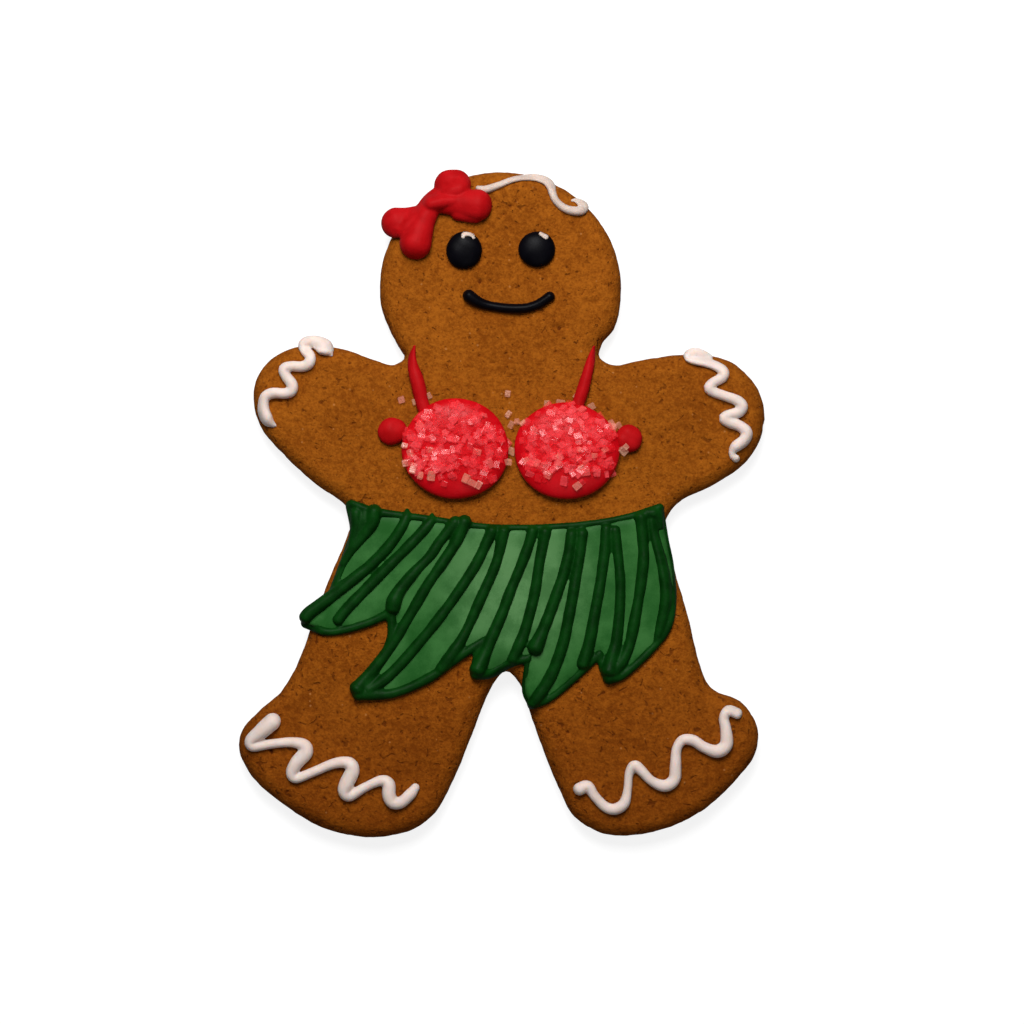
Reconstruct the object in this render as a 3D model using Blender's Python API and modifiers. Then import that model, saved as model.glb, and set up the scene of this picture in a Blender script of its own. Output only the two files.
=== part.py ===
"""Gingerbread figure with piped icing, lying flat with its iced side up."""
import math

import bmesh
import bpy
import numpy as np
from mathutils import Matrix, Vector
from mathutils.geometry import delaunay_2d_cdt

# Every size below is in millimetres and becomes metres when a mesh is made.
MM = 0.001
# Middle of the whole part's box in the coordinates of this file.
MIDDLE = Vector((0.167, -0.146, 0))
WELD = 0.01
SHARP_ANGLE = math.radians(40)

# Dough
RIM_SPACING = 2.9
TOP = 7.1
SIDE_TOP = 3.6
SHOULDER = 3.6
SHOULDER_TURN = (0, 30, 58, 90)
PUFF = 0.5
PUFF_REACH = 9.0
WAVE = 0.13
LOWER_SIDE = ((1.0, 0.0), (0.1, 1.3))
TOP_GRID = 6.0

# Icing
GAP = 0.3
DROOP = 1.7
SHEET_DROOP = 0.1
FOOT_ANGLE = -26
FINE_SECTION = (FOOT_ANGLE, 13, 52, 90, 128, 167, 180 - FOOT_ANGLE)
PLAIN_SECTION = (FOOT_ANGLE, 32, 90, 148, 180 - FOOT_ANGLE)
CAP_ANGLES = (14, 40, 66, 90)
LONGEST_STEP = 5.0
STEEPEST_STEP = 0.4
SHARPEST_STEP = math.radians(38)
TIGHTEST = 0.9
RELAX_ROUNDS = 60
EVEN = 0.25

# Skirt
FLOOD_THICKNESS = 0.9
FLOOD_GRID = 4.2
FLOOD_SPACING = 3.0
HEM_HALF_WIDTH = 1.35
HEM_HEIGHT = 2.3
BLADE_HALF_WIDTH = 1.35
BLADE_HEIGHT = 1.5
BLADE_LIFT = GAP + FLOOD_THICKNESS + GAP
LAYER = 0.07
OVERRUN = 1.1
PIPING_KEPT = 0.46

# Sugar
CRYSTAL = 1.6
CRYSTALS_ON_CUP = 34
GOLDEN_ANGLE = math.pi * (3 - math.sqrt(5))

HEAD_CENTRE = (-0.1, 45.4)
HEAD_RADII = (25.4, 24.4)

# Outline of the dough, counter-clockwise, one short run of points for each limb.
LEFT_NECK = [(-21.2, 32.5), (-20.2, 30.9), (-22.5, 29.3)]
LEFT_ARM = [
    (-26.7, 30.3), (-34.2, 32.8), (-42.2, 33.2), (-48.3, 30.4), (-51.4, 26.5),
    (-52.1, 21.8), (-50.4, 16.0), (-45.6, 10.1), (-38.4, 3.8), (-33.0, 0.0),
]
LEFT_SIDE = [(-31.2, -2.9), (-32.5, -7.1), (-35.9, -15.1), (-40.7, -28.1), (-43.5, -34.9)]
LEFT_FOOT = [
    (-46.2, -39.5), (-51.4, -43.9), (-54.6, -47.9), (-55.0, -52.1), (-52.5, -57.1),
    (-46.2, -62.8), (-37.6, -68.0), (-27.9, -70.1), (-19.1, -68.7), (-13.7, -64.7),
]
BETWEEN_LEGS = [
    (-10.3, -58.8), (-6.1, -48.7), (-1.7, -38.0), (1.1, -35.2), (3.8, -37.6),
    (6.9, -46.4), (11.8, -58.8),
]
RIGHT_FOOT = [
    (15.3, -65.5), (21.6, -69.3), (31.3, -69.2), (41.2, -65.3), (48.7, -58.8),
    (53.3, -52.9), (54.0, -47.5), (51.0, -42.1), (44.3, -38.9),
]
RIGHT_SIDE = [(42.0, -34.4), (39.3, -23.5), (35.9, -11.8), (34.4, -4.2)]
RIGHT_ARM = [
    (37.2, 0.2), (45.1, 4.2), (52.3, 9.7), (55.4, 17.2), (53.8, 24.6),
    (48.1, 30.0), (39.7, 31.4), (29.4, 30.2),
]
RIGHT_NECK = [(23.7, 29.2), (20.6, 30.9), (21.2, 33.8)]

# Piped wiggles: the corners of each one's control line, outer end first.
CUFF_LEFT = [
    (-36.0, 31.3), (-37.8, 34.1), (-42.2, 34.4), (-38.2, 28.5), (-47.0, 29.2),
    (-42.0, 22.9), (-50.6, 23.4), (-49.5, 18.7), (-48.1, 16.4),
]
CUFF_RIGHT = [
    (44.1, 30.0), (40.9, 31.6), (38.0, 31.0), (48.7, 27.4), (41.4, 24.7),
    (52.5, 20.7), (44.7, 18.2), (52.5, 14.7), (48.1, 11.7), (49.4, 9.7),
]
FOOT_TRIM_LEFT = [
    (-47.4, -44.9), (-54.3, -50.6), (-39.1, -49.5), (-45.0, -58.6), (-30.0, -53.0),
    (-33.3, -62.2), (-22.6, -56.8), (-23.1, -63.6), (-17.4, -58.4),
]
FOOT_TRIM_RIGHT = [
    (15.8, -60.1), (18.3, -58.6), (24.1, -65.9), (27.5, -52.9), (35.5, -61.1),
    (37.2, -47.2), (47.7, -53.8), (46.3, -41.2), (50.4, -44.7),
]
HAIR = [
    (-3.3, 66.2), (-1.6, 65.8), (3.4, 68.7), (9.9, 68.6), (10.7, 62.4),
    (15.5, 60.3), (19.1, 62.4), (16.8, 64.9), (14.3, 64.0),
]
STRAP_LEFT = [(-18.0, 33.0), (-18.4, 30.2), (-17.3, 25.4), (-15.9, 20.8)]
STRAP_RIGHT = [(19.4, 32.8), (18.4, 28.6), (16.2, 21.6)]

# Skirt: the piped hem goes round it in these arcs, from the left of the waist.
HEM = [
    [(-31.1, -0.8), (-14.5, -4.2), (4.0, -5.5), (20.0, -4.4), (32.8, -1.5)],
    [(32.8, -1.5), (35.3, -10.9), (35.6, -21.4), (32.3, -28.6), (22.7, -37.0)],
    [(22.7, -37.0), (21.2, -34.9), (20.6, -32.1)],
    [(20.6, -32.1), (12.8, -38.9), (6.1, -42.2)],
    [(6.1, -42.2), (5.2, -37.0), (6.3, -31.7)],
    [(6.3, -31.7), (1.5, -33.6), (-5.5, -36.3)],
    [(-5.5, -36.3), (-5.9, -34.2), (-4.2, -31.1)],
    [(-4.2, -31.1), (-11.8, -35.1), (-21.2, -39.1), (-30.7, -38.9)],
    [(-30.7, -38.9), (-26.2, -32.1), (-22.5, -23.1)],
    [(-22.5, -23.1), (-30.0, -25.6), (-41.6, -24.4)],
    [(-41.6, -24.4), (-37.6, -20.6), (-33.2, -13.4), (-30.7, -7.6), (-31.1, -0.8)],
]

# Skirt: the piped blades that lie on the flood, each from the waist downward.
BLADES = [
    [(-26.9, -1.3), (-29.6, -7.6), (-34.0, -14.9)],
    [(-20.2, -2.3), (-27.9, -13.8), (-40.9, -24.6)],
    [(-14.7, -2.9), (-23.1, -13.9), (-34.2, -25.2)],
    [(-9.4, -3.6), (-16.8, -13.2), (-22.6, -22.3)],
    [(-7.8, -3.6), (-17.6, -21.0), (-30.2, -38.4)],
    [(-1.1, -4.8), (-7.6, -15.8), (-16.0, -27.5), (-23.7, -35.7), (-29.6, -38.4)],
    [(1.1, -5.2), (-1.7, -14.5), (-10.7, -32.5)],
    [(7.8, -5.5), (1.3, -20.2), (-4.6, -35.3)],
    [(9.7, -5.7), (7.3, -17.4), (2.5, -33.2)],
    [(15.5, -5.0), (12.8, -17.0), (7.6, -30.4)],
    [(17.2, -5.0), (15.5, -19.1), (12.8, -30.7), (6.5, -42.2)],
    [(21.6, -4.2), (20.6, -18.1), (16.8, -34.2)],
    [(23.1, -4.2), (25.0, -18.5), (22.9, -35.3)],
    [(29.2, -2.4), (29.6, -17.6), (23.3, -36.1)],
    [(31.7, -2.8), (34.4, -15.5), (31.7, -29.0)],
]

# Bow: each lobe runs from one round end to another and has a radius at each.
BOW_LOBES = [
    ((-11.1, 66.6), (-8.4, 67.0), 2.9, 2.9),
    ((-11.6, 63.2), (-5.2, 62.4), 2.1, 3.2),
    ((-17.0, 61.3), (-21.6, 58.8), 2.1, 3.5),
    ((-14.3, 62.6), (-17.6, 54.7), 2.0, 3.6),
    ((-16.2, 61.3), (-12.8, 64.5), 2.0, 2.2),
]
BOW_HEIGHT = 3.4

EYES = {"left": ((-7.7, 53.0), (3.75, 3.9)), "right": ((7.5, 53.2), (3.9, 3.7))}
EYE_HEIGHT = 2.1
GLINTS = {
    "left": [(-8.5, 55.2), (-8.1, 56.2), (-6.7, 56.3), (-5.6, 55.2)],
    "right": [(7.9, 56.3), (9.0, 55.7), (9.9, 54.9)],
}
GLINT_HEIGHT = 0.5
MOUTH_CENTRE = (1.7, 57.2)
MOUTH_RADIUS = 16.3
MOUTH_ANGLES = (-126, -55)

CUPS = {"left": ((-9.5, 11.5), (11.3, 10.4)), "right": ((13.7, 11.1), (10.9, 10.2))}
CUP_HEIGHT = 4.2
BEADS = {"left": ((-23.2, 15.1), 2.6), "right": ((27.1, 13.8), 2.5)}
BEAD_HEIGHT = 2.4
LOOSE_CRYSTALS = [(-20.8, 22.0), (1.5, 23.1)]

DOUGH = ("gingerbread", (0.30, 0.105, 0.018), 0.75)
WHITE = ("white_icing", (0.80, 0.74, 0.70), 0.45)
RED = ("red_icing", (0.60, 0.012, 0.022), 0.4)
GREEN = ("green_icing", (0.035, 0.17, 0.045), 0.4)
DARK_GREEN = ("dark_green_icing", (0.003, 0.05, 0.006), 0.45)
BLACK = ("black_icing", (0.004, 0.004, 0.006), 0.35)


def clear_scene():
    """Remove whatever objects the file starts with."""
    for item in list(bpy.data.objects):
        bpy.data.objects.remove(item, do_unlink=True)


clear_scene()
parts = bpy.data.collections.new("gingerbread_figure")
bpy.context.scene.collection.children.link(parts)


def material(look):
    """Principled material from a name, a colour and a roughness."""
    name, colour, roughness = look
    existing = bpy.data.materials.get(name)
    if existing:
        return existing
    made = bpy.data.materials.new(name)
    made.use_nodes = True
    shader = made.node_tree.nodes["Principled BSDF"]
    shader.inputs["Base Color"].default_value = (*colour, 1)
    shader.inputs["Roughness"].default_value = roughness
    return made


def make_object(name, solid, look):
    """Named object from points and faces in millimetres, welded and facing out."""
    points, faces = solid
    mesh = bpy.data.meshes.new(name)
    mesh.from_pydata([(Vector(p) - MIDDLE) * MM for p in points], [], faces)
    work = bmesh.new()
    work.from_mesh(mesh)
    bmesh.ops.remove_doubles(work, verts=work.verts, dist=WELD * MM)
    bmesh.ops.recalc_face_normals(work, faces=work.faces)
    work.to_mesh(mesh)
    work.free()
    mesh.materials.append(material(look))
    mesh.shade_smooth()
    mesh.set_sharp_from_angle(angle=SHARP_ANGLE)
    made = bpy.data.objects.new(name, mesh)
    parts.objects.link(made)
    return made


def mesh_points(mesh):
    """Points and faces of a mesh as plain arrays."""
    points = np.empty(len(mesh.vertices) * 3)
    mesh.vertices.foreach_get("co", points)
    return points.reshape(-1, 3), [tuple(face.vertices) for face in mesh.polygons]


def apply_modifiers(item):
    """Replace an object's mesh with the mesh its modifiers give."""
    depsgraph = bpy.context.evaluated_depsgraph_get()
    applied = bpy.data.meshes.new_from_object(item.evaluated_get(depsgraph))
    item.modifiers.clear()
    item.data = applied


def join(base, pieces):
    """Join a collection of pieces to a base object with one Boolean union."""
    group = bpy.data.collections.new("pieces")
    bpy.context.scene.collection.children.link(group)
    for piece in pieces:
        parts.objects.unlink(piece)
        group.objects.link(piece)
    modifier = base.modifiers.new("join", "BOOLEAN")
    modifier.operation = "UNION"
    modifier.operand_type = "COLLECTION"
    modifier.collection = group
    modifier.solver = "EXACT"
    apply_modifiers(base)
    for piece in pieces:
        bpy.data.objects.remove(piece, do_unlink=True)
    bpy.data.collections.remove(group)


def bezier(p0, p1, p2, p3, count):
    """Points on one cubic span, its last point left out."""
    t = (np.arange(count) / count)[:, None]
    return (1 - t) ** 3 * p0 + 3 * t * (1 - t) ** 2 * p1 + 3 * t * t * (1 - t) * p2 + t ** 3 * p3


def smooth_loop(anchors, per_span):
    """Closed curve through the anchors, centripetal so that it never loops."""
    ring = np.array(anchors, float)
    spans = []
    for i in range(len(ring)):
        p0, p1, p2, p3 = (ring[(i + k) % len(ring)] for k in (-1, 0, 1, 2))
        a, b, c = (math.sqrt(math.dist(u, v)) for u, v in ((p0, p1), (p1, p2), (p2, p3)))
        h1 = a * a * p2 - b * b * p0 + (2 * a * a + 3 * a * b + b * b) * p1
        h2 = c * c * p1 - b * b * p3 + (2 * c * c + 3 * c * b + b * b) * p2
        spans.append(bezier(p1, h1 / (3 * a * (a + b)), h2 / (3 * c * (c + b)), p2, per_span))
    return np.vstack(spans)


def smooth_line(anchors, per_span=10):
    """Open curve through the anchors."""
    line = np.array(anchors, float)
    padded = [2 * line[0] - line[1], *line, 2 * line[-1] - line[-2]]
    spans = []
    for p0, p1, p2, p3 in zip(padded, padded[1:], padded[2:], padded[3:]):
        spans.append(bezier(p1, p1 + (p2 - p0) / 6, p2 - (p3 - p1) / 6, p2, per_span))
    return np.vstack([*spans, line[-1:]])


def wiggle(corners, per_span=12):
    """Quadratic B-spline: it rounds each corner and crosses each middle."""
    line = np.array(corners, float)
    middles = (line[:-1] + line[1:]) / 2
    middles[0] = line[0]
    middles[-1] = line[-1]
    t = (np.arange(per_span) / per_span)[:, None]
    spans = []
    for start, corner, end in zip(middles, line[1:-1], middles[1:]):
        spans.append((1 - t) ** 2 * start + 2 * t * (1 - t) * corner + t * t * end)
    return np.vstack([*spans, line[-1:]])


def lengths_along(line):
    """Distance of each point of a line from its start."""
    return np.concatenate([[0], np.cumsum(np.linalg.norm(np.diff(line, axis=0), axis=1))])


def extend(line, length):
    """Carry both ends of a line on by a length."""
    first = line[0] - line[1]
    last = line[-1] - line[-2]
    start = line[0] + first / np.linalg.norm(first) * length
    end = line[-1] + last / np.linalg.norm(last) * length
    return np.vstack([start, line, end])


def rim_points():
    """Even points round the outline of the dough."""
    head = []
    for degrees in range(-20, 205, 15):
        angle = math.radians(degrees)
        head.append((
            HEAD_CENTRE[0] + HEAD_RADII[0] * math.cos(angle),
            HEAD_CENTRE[1] + HEAD_RADII[1] * math.sin(angle),
        ))
    anchors = [
        *LEFT_NECK, *LEFT_ARM, *LEFT_SIDE, *LEFT_FOOT, *BETWEEN_LEGS,
        *RIGHT_FOOT, *RIGHT_SIDE, *RIGHT_ARM, *RIGHT_NECK, *head,
    ]
    loop = smooth_loop(anchors, 8)
    loop = np.vstack([loop, loop[:1]])
    along = lengths_along(loop)
    stations = np.linspace(0, along[-1], round(along[-1] / RIM_SPACING), endpoint=False)
    return np.column_stack([np.interp(stations, along, loop[:, axis]) for axis in (0, 1)])


RIM = rim_points()


def loop_distance(points, loop):
    """Distance of points from a closed loop, above zero inside it."""
    nearest = np.full(len(points), np.inf)
    inside = np.zeros(len(points), bool)
    for start, end in zip(loop, np.roll(loop, -1, axis=0)):
        step = end - start
        away = points - start
        t = np.clip(away @ step / (step @ step), 0, 1)
        nearest = np.minimum(nearest, np.linalg.norm(away - t[:, None] * step, axis=1))
        rise = step[1] if abs(step[1]) > 1e-9 else 1e-9
        spans = (start[1] > points[:, 1]) != (end[1] > points[:, 1])
        inside ^= spans & (away[:, 0] < away[:, 1] * step[0] / rise)
    return np.where(inside, nearest, -nearest)


def crust_height(points):
    """Height of the dough's top: a rounded shoulder, then an uneven puff."""
    depth = np.maximum(loop_distance(points, RIM), 0)
    turn = np.clip(1 - depth / SHOULDER, 0, 1)
    shoulder = SIDE_TOP + (TOP - SIDE_TOP) * np.sqrt(1 - turn * turn)
    puff = PUFF * (1 - np.exp(-depth / PUFF_REACH))
    x, y = points.T
    waves = np.sin(0.23 * x + 0.11 * y + 0.6) + np.sin(0.19 * y - 0.13 * x + 2.1)
    return shoulder + puff + WAVE * waves * (1 - turn)


def settle(solid, lift, droop=DROOP):
    """Lay a solid on the dough, drooping a little where it passes the rim."""
    points, faces = solid
    points = np.array(points, float)
    rest = np.maximum(crust_height(points[:, :2]), TOP - droop)
    points[:, 2] += rest + lift
    return points, faces


def grid_inside(loop, spacing, margin):
    """Staggered grid of points that keep a margin from a loop."""
    low = loop.min(axis=0)
    high = loop.max(axis=0)
    rows = np.arange(low[1], high[1], spacing * 0.87)
    points = []
    for row, y in enumerate(rows):
        xs = np.arange(low[0] + (row % 2) * spacing / 2, high[0], spacing)
        points.append(np.column_stack([xs, np.full(len(xs), y)]))
    points = np.vstack(points)
    return points[loop_distance(points, loop) > margin]


def fill_loop(loop, spacing):
    """Triangles inside a loop, with grid points added in the middle."""
    inner = grid_inside(loop, spacing, spacing * 0.55)
    corners = [Vector(p) for p in np.vstack([loop, inner])]
    ring = [(i, (i + 1) % len(loop)) for i in range(len(loop))]
    filled = delaunay_2d_cdt(corners, ring, [], 1, 1e-6)
    return np.array([list(p) for p in filled[0]]), [tuple(face) for face in filled[2]]


def band(first, second, count):
    """Quads between two rings of points that start at the given numbers."""
    faces = []
    for i in range(count):
        j = (i + 1) % count
        faces.append((first + i, first + j, second + j, second + i))
    return faces


def cookie_solid():
    """Flat base, rounded side and shoulder, and the uneven top."""
    tangent = np.roll(RIM, -1, axis=0) - np.roll(RIM, 1, axis=0)
    inward = np.column_stack([-tangent[:, 1], tangent[:, 0]])
    inward /= np.linalg.norm(inward, axis=1)[:, None]
    rings = []
    for inset, height in LOWER_SIDE:
        flat = RIM + inward * inset
        rings.append(np.column_stack([flat, np.full(len(RIM), height)]))
    for degrees in SHOULDER_TURN:
        flat = RIM + inward * SHOULDER * (1 - math.cos(math.radians(degrees)))
        rings.append(np.column_stack([flat, crust_height(flat)]))
    count = len(RIM)
    faces = [tuple(range(count))]
    for level in range(len(rings) - 1):
        faces += band(level * count, (level + 1) * count, count)
    top, triangles = fill_loop(rings[-1][:, :2], TOP_GRID)
    offset = (len(rings) - 1) * count
    inner = top[count:]
    rings.append(np.column_stack([inner, crust_height(inner)]))
    faces += [tuple(offset + i for i in triangle) for triangle in triangles]
    return np.vstack(rings), faces


def stations(line, start_radius, end_radius):
    """Where to put sections: close in bends, over the rim and in round ends."""
    along = lengths_along(line)
    rest = np.maximum(crust_height(line), TOP - DROOP)
    fall = np.concatenate([[0], np.abs(np.diff(rest))])
    steps = np.diff(line, axis=0)
    heading = np.unwrap(np.arctan2(steps[:, 1], steps[:, 0]))
    turn = np.concatenate([[0], np.abs(np.diff(heading)), [0]])
    effort = along / LONGEST_STEP + np.cumsum(fall) / STEEPEST_STEP
    effort += np.cumsum(turn) / SHARPEST_STEP
    first = start_radius
    last = along[-1] - end_radius
    low, high = np.interp([first, last], along, effort)
    count = max(1, math.ceil(high - low))
    middle = np.interp(np.linspace(low, high, count + 1), effort, along)
    cap = 1 - np.cos(np.radians(CAP_ANGLES[:-1]))
    before = start_radius * cap
    after = along[-1] - end_radius * cap[::-1]
    return np.concatenate([before, middle, after])


def foot_share():
    """Height of the tucked-in foot below a round section's middle."""
    return math.sin(math.radians(FOOT_ANGLE))


def section_object(angles, under, rise):
    """Closed curve of a rope's section: round above, flat below, half as wide as one."""
    corners = []
    for degrees in angles:
        up = (math.sin(math.radians(degrees)) - foot_share()) / (1 - foot_share())
        corners.append((math.cos(math.radians(degrees)), up * rise))
    width = corners[0][0]
    corners += [(-width + 2 * width * (k + 1) / (under + 1), 0) for k in range(under)]
    data = bpy.data.curves.new("section", "CURVE")
    data.dimensions = "2D"
    spline = data.splines.new("POLY")
    spline.points.add(len(corners) - 1)
    for point, (across, up) in zip(spline.points, corners):
        point.co = (across, up, 0, 1)
    spline.use_cyclic_u = True
    return bpy.data.objects.new("section", data)


def ease(line, reach):
    """Relax a line until no bend is tighter than the rope is wide."""
    count = max(int(lengths_along(line)[-1] / EVEN), 8)
    along = lengths_along(line)
    even = np.linspace(0, along[-1], count)
    line = np.column_stack([np.interp(even, along, line[:, axis]) for axis in (0, 1)])
    for _ in range(RELAX_ROUNDS):
        steps = np.diff(line, axis=0)
        turn = np.abs(np.diff(np.unwrap(np.arctan2(steps[:, 1], steps[:, 0]))))
        tight = turn * reach > np.linalg.norm(steps[1:], axis=1) * TIGHTEST
        if not tight.any():
            break
        middle = (line[:-2] + line[2:]) / 2
        line[1:-1] += np.where(tight, 0.4, 0.02)[:, None] * (middle - line[1:-1])
    return line


def strand(line, radii, height, under=0, angles=FINE_SECTION):
    """Piped rope along a line: half its width runs through radii, tip to tip."""
    line = ease(np.array(line, float), max(radii))
    along = lengths_along(line)
    places = stations(line, radii[0], radii[-1])
    half = np.interp(places, np.linspace(0, along[-1], len(radii)), radii)
    to_tip = np.minimum(places / radii[0], (along[-1] - places) / radii[-1])
    reach = half * np.sqrt(1 - np.clip(1 - to_tip, 0, 1) ** 2)
    section = section_object(angles, under, height / max(radii))
    data = bpy.data.curves.new("rope", "CURVE")
    data.dimensions = "3D"
    data.twist_mode = "Z_UP"
    data.bevel_mode = "OBJECT"
    data.bevel_object = section
    data.use_fill_caps = True
    spline = data.splines.new("POLY")
    spline.points.add(len(places) - 1)
    for point, place, radius in zip(spline.points, places, reach):
        x, y = (np.interp(place, along, line[:, axis]) for axis in (0, 1))
        point.co = (x, y, 0, 1)
        point.radius = radius
    rope = bpy.data.objects.new("rope", data)
    bpy.context.scene.collection.objects.link(rope)
    depsgraph = bpy.context.evaluated_depsgraph_get()
    solid = mesh_points(bpy.data.meshes.new_from_object(rope.evaluated_get(depsgraph)))
    bpy.data.objects.remove(rope, do_unlink=True)
    bpy.data.objects.remove(section, do_unlink=True)
    return solid


def lobe(start, end, start_radius, end_radius, height):
    """Rounded lobe from one circle to another."""
    start = np.array(start)
    end = np.array(end)
    way = (end - start) / np.linalg.norm(end - start)
    line = np.linspace(start - way * start_radius, end + way * end_radius, 24)
    return strand(line, (start_radius, end_radius), height, under=2)


def dome(centre, radii, height, around, rings):
    """Rounded blob with a slightly tucked-in foot."""
    work = bmesh.new()
    bmesh.ops.create_uvsphere(work, u_segments=around, v_segments=rings, radius=1)
    mesh = bpy.data.meshes.new("dome")
    work.to_mesh(mesh)
    work.free()
    points, faces = mesh_points(mesh)
    points[:, :2] = points[:, :2] * radii + centre
    rise = (points[:, 2] - foot_share()) / (1 - foot_share())
    points[:, 2] = np.maximum(rise, 0) * height
    return points, faces


def blob_height(points, centre, radii, height):
    """Height of a dome's own surface above its foot."""
    reach = np.hypot(*((points - np.array(centre)) / np.array(radii)).T)
    base = foot_share()
    return (np.sqrt(np.clip(1 - reach ** 2, 0, 1)) - base) / (1 - base) * height


def crystal(name, place, size, rng):
    """One tilted block of sugar."""
    shape = Vector((size, size * rng.uniform(0.75, 1.0), size * rng.uniform(0.7, 0.95)))
    turn = Matrix.Rotation(rng.uniform(0, math.tau), 4, "Z")
    tilt = Matrix.Rotation(rng.uniform(-0.5, 0.5), 4, "X")
    work = bmesh.new()
    place = Matrix.Translation(place) @ turn @ tilt @ Matrix.Diagonal(shape.to_4d())
    bmesh.ops.create_cube(work, size=1, matrix=place)
    mesh = bpy.data.meshes.new("crystal")
    work.to_mesh(mesh)
    work.free()
    return make_object(name, mesh_points(mesh), RED)


def build_cookie():
    """The dough, with the two sugar blocks that fell on it."""
    rng = np.random.default_rng(5)
    base = make_object("cookie", cookie_solid(), DOUGH)
    spots = np.array(LOOSE_CRYSTALS)
    blocks = []
    for (x, y), z in zip(spots, crust_height(spots)):
        blocks.append(crystal("block", (x, y, z + CRYSTAL * 0.3), CRYSTAL, rng))
    join(base, blocks)


def build_cup(side, seed):
    """Iced dome set all over with blocks of sugar."""
    centre, radii = CUPS[side]
    solid = settle(dome(centre, radii, CUP_HEIGHT, 26, 8), GAP)
    base = make_object("cup_" + side, solid, RED)
    rng = np.random.default_rng(seed)
    order = np.arange(CRYSTALS_ON_CUP)
    reach = 0.9 * np.sqrt((order + 0.5) / CRYSTALS_ON_CUP)
    turn = order * GOLDEN_ANGLE + rng.uniform(-0.12, 0.12, CRYSTALS_ON_CUP)
    spots = np.column_stack([np.cos(turn), np.sin(turn)]) * reach[:, None] * radii + centre
    heights = crust_height(spots) + GAP + blob_height(spots, centre, radii, CUP_HEIGHT)
    blocks = []
    for (x, y), z in zip(spots, heights):
        blocks.append(crystal("block", (x, y, z + CRYSTAL * 0.16), CRYSTAL, rng))
    join(base, blocks)


def inset_loop(arcs, inset):
    """Loop that keeps clear of a clockwise ring of arcs, round at its notches."""
    outer = np.vstack([arc[:-1] for arc in arcs])
    spots = []
    for arc, following in zip(arcs, arcs[1:] + arcs[:1]):
        steps = np.diff(arc, axis=0)
        ways = np.arctan2(steps[:, 1], steps[:, 0])
        onward = following[1] - following[0]
        turn = (math.atan2(onward[1], onward[0]) - ways[-1] + math.pi) % math.tau - math.pi
        count = max(2, round(lengths_along(arc)[-1] / FLOOD_SPACING))
        for k in np.linspace(0, len(ways) - 1, count).round().astype(int):
            spots.append(arc[k] + inset * np.array([math.sin(ways[k]), -math.cos(ways[k])]))
        for share in (0.25, 0.5, 0.75):
            way = ways[-1] + turn * share
            spots.append(arc[-1] + inset * np.array([math.sin(way), -math.cos(way)]))
    spots = np.array(spots)
    return spots[loop_distance(spots, outer) > inset - 0.05]


def build_flood():
    """Thin sheet of flooded icing that stops just short of the piped hem."""
    arcs = [smooth_line(arc) for arc in HEM]
    loop = inset_loop(arcs, HEM_HALF_WIDTH + GAP)[::-1]
    flat, triangles = fill_loop(loop, FLOOD_GRID)
    points = np.column_stack([flat, np.zeros(len(flat))])
    sheet = make_object("skirt_flood", settle((points, triangles), GAP, SHEET_DROOP), GREEN)
    if sheet.data.polygons[0].normal.z < 0:
        sheet.data.flip_normals()
    thicken = sheet.modifiers.new("thickness", "SOLIDIFY")
    thicken.thickness = FLOOD_THICKNESS * MM
    thicken.offset = 1


def build_piping():
    """Piped hem on the dough and piped blades on the flood, joined into one."""
    ropes = []
    radii = (HEM_HALF_WIDTH, HEM_HALF_WIDTH)
    for order, arc in enumerate(HEM):
        line = extend(smooth_line(arc), OVERRUN)
        solid = strand(line, radii, HEM_HEIGHT, 1, PLAIN_SECTION)
        solid = settle(solid, GAP + LAYER * (order % 2))
        ropes.append(make_object("hem", solid, DARK_GREEN))
    radii = (BLADE_HALF_WIDTH, BLADE_HALF_WIDTH)
    for order, blade in enumerate(BLADES):
        solid = strand(smooth_line(blade), radii, BLADE_HEIGHT, 0, PLAIN_SECTION)
        solid = settle(solid, BLADE_LIFT + LAYER * (order % 3), SHEET_DROOP)
        ropes.append(make_object("blade", solid, DARK_GREEN))
    piping = ropes[0]
    piping.name = "skirt_piping"
    join(piping, ropes[1:])
    thin_out(piping, PIPING_KEPT)


def thin_out(item, kept):
    """Collapse the slivers a Boolean leaves, keeping a share of the faces."""
    modifier = item.modifiers.new("thin", "DECIMATE")
    modifier.ratio = kept
    apply_modifiers(item)


def build_bow():
    """Five lobes of red icing joined into one bow."""
    lobes = []
    for start, end, start_radius, end_radius in BOW_LOBES:
        height = BOW_HEIGHT * (0.75 + 0.25 * end_radius / 3.6)
        solid = lobe(start, end, start_radius, end_radius, height)
        lobes.append(make_object("lobe", settle(solid, GAP), RED))
    bow = lobes[0]
    bow.name = "bow"
    join(bow, lobes[1:])


def build_face():
    """Eyes with their glints, and the mouth."""
    for side, (centre, radii) in EYES.items():
        solid = settle(dome(centre, radii, EYE_HEIGHT, 20, 6), GAP)
        make_object("eye_" + side, solid, BLACK)
        points, faces = strand(smooth_line(GLINTS[side]), (0.5, 0.5), GLINT_HEIGHT)
        points[:, 2] += blob_height(points[:, :2], centre, radii, EYE_HEIGHT)
        make_object("eye_glint_" + side, settle((points, faces), 2 * GAP), WHITE)
    angles = np.radians(np.linspace(*MOUTH_ANGLES, 30))
    arc = np.column_stack([np.cos(angles), np.sin(angles)]) * MOUTH_RADIUS + MOUTH_CENTRE
    solid = strand(arc, (1.25, 1.0, 0.95, 0.95, 1.1), 1.6)
    make_object("mouth", settle(solid, GAP), BLACK)


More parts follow.
